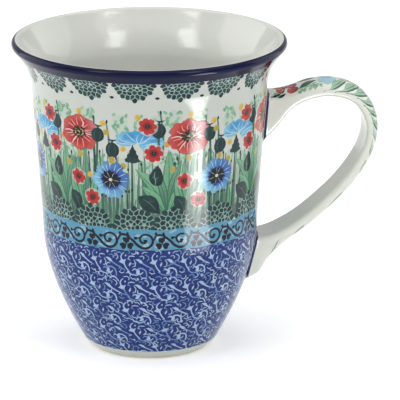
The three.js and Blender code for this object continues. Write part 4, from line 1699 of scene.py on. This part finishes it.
def fillet_rings(upper):
    """Four rings round one root of the strap: on the strap, in the corner, on the wall, and buried."""
    on_handle = strap_point(ROUND_SAMPLES, strap_leaves_wall(ROUND_SAMPLES, FILLET_RISE, upper))
    corner_t = strap_leaves_wall(ROUND_SAMPLES, CORNER_CLEARANCE, upper)
    corner = strap_point(ROUND_SAMPLES, corner_t)
    ahead = strap_point(ROUND_SAMPLES + TANGENT_STEP, corner_t)
    tangent = ahead - strap_point(ROUND_SAMPLES - TANGENT_STEP, corner_t)
    angle = np.arctan2(corner[:, 1], corner[:, 0])
    out = outside.outward(np.interp(corner[:, 2], outside.points[:, 1], outside.along))
    wall_normal = np.stack([out[:, 0] * np.cos(angle), out[:, 0] * np.sin(angle), out[:, 1]], -1)
    away = unit(np.cross(wall_normal, tangent))
    facing = np.sign(np.sum(away * (corner - corner.mean(0)), axis=1))
    away = away * facing[:, None]
    landing = corner + away * FILLET_SPREAD
    landing -= wall_normal * clearance(landing)[:, None]
    buried = corner - wall_normal * BURIED_BY_WALL - away * BURIED_BY_ROOT
    return on_handle, corner, landing, buried


def slip_painting():
    """A cobalt line with a pale halo, waving a little along the middle of the fillet."""
    # the slip's ground is the white glaze painted lighter, as painted light
    painting = Painting(PERIMETER, FILLET_HEIGHT, STRAP_WHITE_PAINTED_LIGHTER)
    us = np.linspace(-2, PERIMETER + 2, 121)
    swing = 0.1 * np.sin(us / PERIMETER * 2 * math.pi * 7) + 0.06 * np.sin(us / PERIMETER * 2 * math.pi * 17)
    middle = FILLET_HEIGHT * 0.5
    for half, tone, cover in SLIP_LINES:
        low = np.stack([us, middle - half + swing], -1)
        high = np.stack([us, middle + half + swing], -1)
        painting.add(np.vstack([low, high[::-1]]), tone, cover)
    return painting


def make_slip_joint(name, upper, replaced):
    """A hollow-faced fillet of slip round one root of the strap, with a cobalt line painted along it."""
    on_handle, corner, landing, buried = fillet_rings(upper)
    first, last = (landing, on_handle) if upper else (on_handle, landing)

    def face(points, sink=0.0):
        around = points[:, 0] % PERIMETER
        share = np.clip(points[:, 1] / FILLET_HEIGHT, 0, 1)[:, None]

        def pick(ring):
            return np.stack([np.interp(around, ROUND_SAMPLES, ring[:, k]) for k in range(3)], -1)

        bend = pick(corner)
        curve = pick(first) * (1 - share) ** 2 + bend * 2 * share * (1 - share) + pick(last) * share ** 2
        return curve + (pick(buried) - curve) * sink if sink else curve

    def front(points):
        return face(points), surface_normals(face, points)

    def rear(points):
        return face(points, REAR_SHARE), -surface_normals(face, points)

    painted_piece(name, slip_painting(), front, FILLET_SPACING, rear, slip_material, replaced)


make_slip_joint("upper_root_slip", True, ["upper_slip_joint"])
make_slip_joint("lower_root_slip", False, ["lower_slip_joint"])


# ---- Studio ----

FLOOR_HALF = 6.0
FLOOR_TONES = ((0.81, 0.81, 0.81, 1), (0.83, 0.83, 0.83, 1))
FLOOR_ROUGHNESS = 0.9
FLOOR_GLOW = 0.27
WORLD_STRENGTH = 0.50
WHITE = (1.0, 1.0, 1.0, 1.0)
LIGHT_TARGET = Vector((0.01, 0, 0.06))

WINDOW_AZIMUTHS = {"window_left": -46, "window_right": 39.5}
WINDOW_ELEVATION = 36.5
WINDOW_DISTANCE = 1.5
WINDOW_SIZE = (0.53, 0.62)
WINDOW_POWER = 4.6
PANE_ELEVATION = 37.1
PANE_HEIGHT = 0.66
PANE_RADIANCE = 15.0
WINDOW_PANES = [
    # azimuth from the window's middle, width in metres, brightness
    (-10.4, 0.08, 0.45), (0.0, 0.32, 1.0), (10.4, 0.08, 0.45),
]
SOFT_BOXES = [
    # name, azimuth, elevation, distance, (width, height), power
    ("side_left", -108, 14, 1.4, (1.2, 1.5), 9),
    ("side_right", 116, 14, 1.4, (1.0, 1.4), 5),
    ("overhead", 10, 86, 2.0, (3.0, 3.0), 25),
]
LOW_CARDS = [
    # name, azimuth, distance, (length, width), power
    ("low_card_wide", 46, 0.27, (0.26, 0.07), 0.6),
    ("low_card_core", 46, 0.285, (0.23, 0.034), 2.1),
]
CARD_HEIGHT = 0.004


def make_floor():
    size = FLOOR_HALF
    mesh = bpy.data.meshes.new("studio_floor")
    edge = [(-size, -size, 0), (size, -size, 0), (size, size, 0), (-size, size, 0)]
    mesh.from_pydata(edge, [], [(0, 1, 2, 3)])
    floor = bpy.data.objects.new("studio_floor", mesh)
    bpy.context.scene.collection.objects.link(floor)
    nodes = Nodes("studio_floor")
    shade = nodes.spread(nodes.noise(3, 2.0), 0.3, 0.7, 0.0, 1.0)
    nodes.set(nodes.shader, "Base Color", nodes.mix(shade, *FLOOR_TONES))
    nodes.shader.inputs["Roughness"].default_value = FLOOR_ROUGHNESS
    nodes.shader.inputs["Emission Color"].default_value = WHITE
    nodes.shader.inputs["Emission Strength"].default_value = FLOOR_GLOW
    mesh.materials.append(nodes.material)


def area_light(name, size, power):
    """A rectangular light that the camera doesn't see."""
    data = bpy.data.lights.new(name, "AREA")
    data.shape = "RECTANGLE"
    data.size = size[0]
    data.size_y = size[1]
    data.energy = power
    light = bpy.data.objects.new(name, data)
    light.visible_camera = False
    bpy.context.scene.collection.objects.link(light)
    return light


def scene_angle(azimuth):
    """The angle from +X of an azimuth, in degrees to the right of the camera's own direction."""
    return math.radians(azimuth) + CAMERA_AZIMUTH - math.pi / 2


def add_soft_box(name, azimuth, elevation, distance, size, power, lights=True, mirrored=True):
    """A soft box aimed at the mug. One that only lights isn't seen in the glaze, and one that is only
    mirrored adds no light to the scene."""
    angle = scene_angle(azimuth)
    rise = math.radians(elevation)
    way = Vector((math.cos(angle) * math.cos(rise), math.sin(angle) * math.cos(rise), math.sin(rise)))
    light = area_light(name, size, power)
    light.location = LIGHT_TARGET + way * distance
    light.rotation_mode = "QUATERNION"
    light.rotation_quaternion = (-way).to_track_quat("-Z", "Y")
    light.visible_diffuse = lights
    light.visible_glossy = mirrored


def add_window(name, azimuth):
    """A window of three panes parted by dark bars. Its light comes from one soft box, and the panes are what
    the glaze mirrors."""
    add_soft_box(name, azimuth, WINDOW_ELEVATION, WINDOW_DISTANCE, WINDOW_SIZE, WINDOW_POWER, mirrored=False)
    for k, (offset, width, brightness) in enumerate(WINDOW_PANES):
        power = PANE_RADIANCE * brightness * width * PANE_HEIGHT
        add_soft_box(f"{name}_pane_{k}", azimuth + offset, PANE_ELEVATION, WINDOW_DISTANCE,
                     (width, PANE_HEIGHT), power, lights=False)


def add_low_card(name, azimuth, distance, size, power):
    """A card lying on the floor out of view and facing up. It is only mirrored, as a long highlight on the
    cup's wall."""
    angle = scene_angle(azimuth)
    card = area_light(name, size, power)
    card.location = (distance * math.cos(angle), distance * math.sin(angle), CARD_HEIGHT)
    card.rotation_euler = (math.pi, 0, angle)
    card.visible_diffuse = False


def make_studio():
    make_floor()
    world = bpy.data.worlds.new("studio")
    world.use_nodes = True
    background = world.node_tree.nodes["Background"]
    background.inputs["Color"].default_value = WHITE
    background.inputs["Strength"].default_value = WORLD_STRENGTH
    bpy.context.scene.world = world
    for name, azimuth in WINDOW_AZIMUTHS.items():
        add_window(name, azimuth)
    for box in SOFT_BOXES:
        add_soft_box(*box)
    for card in LOW_CARDS:
        add_low_card(*card)
    bpy.context.scene.view_settings.view_transform = "Standard"


make_studio()


# ---- Box corners ----

def corners(box):
    return [[float(x) for x in corner] for corner in box]
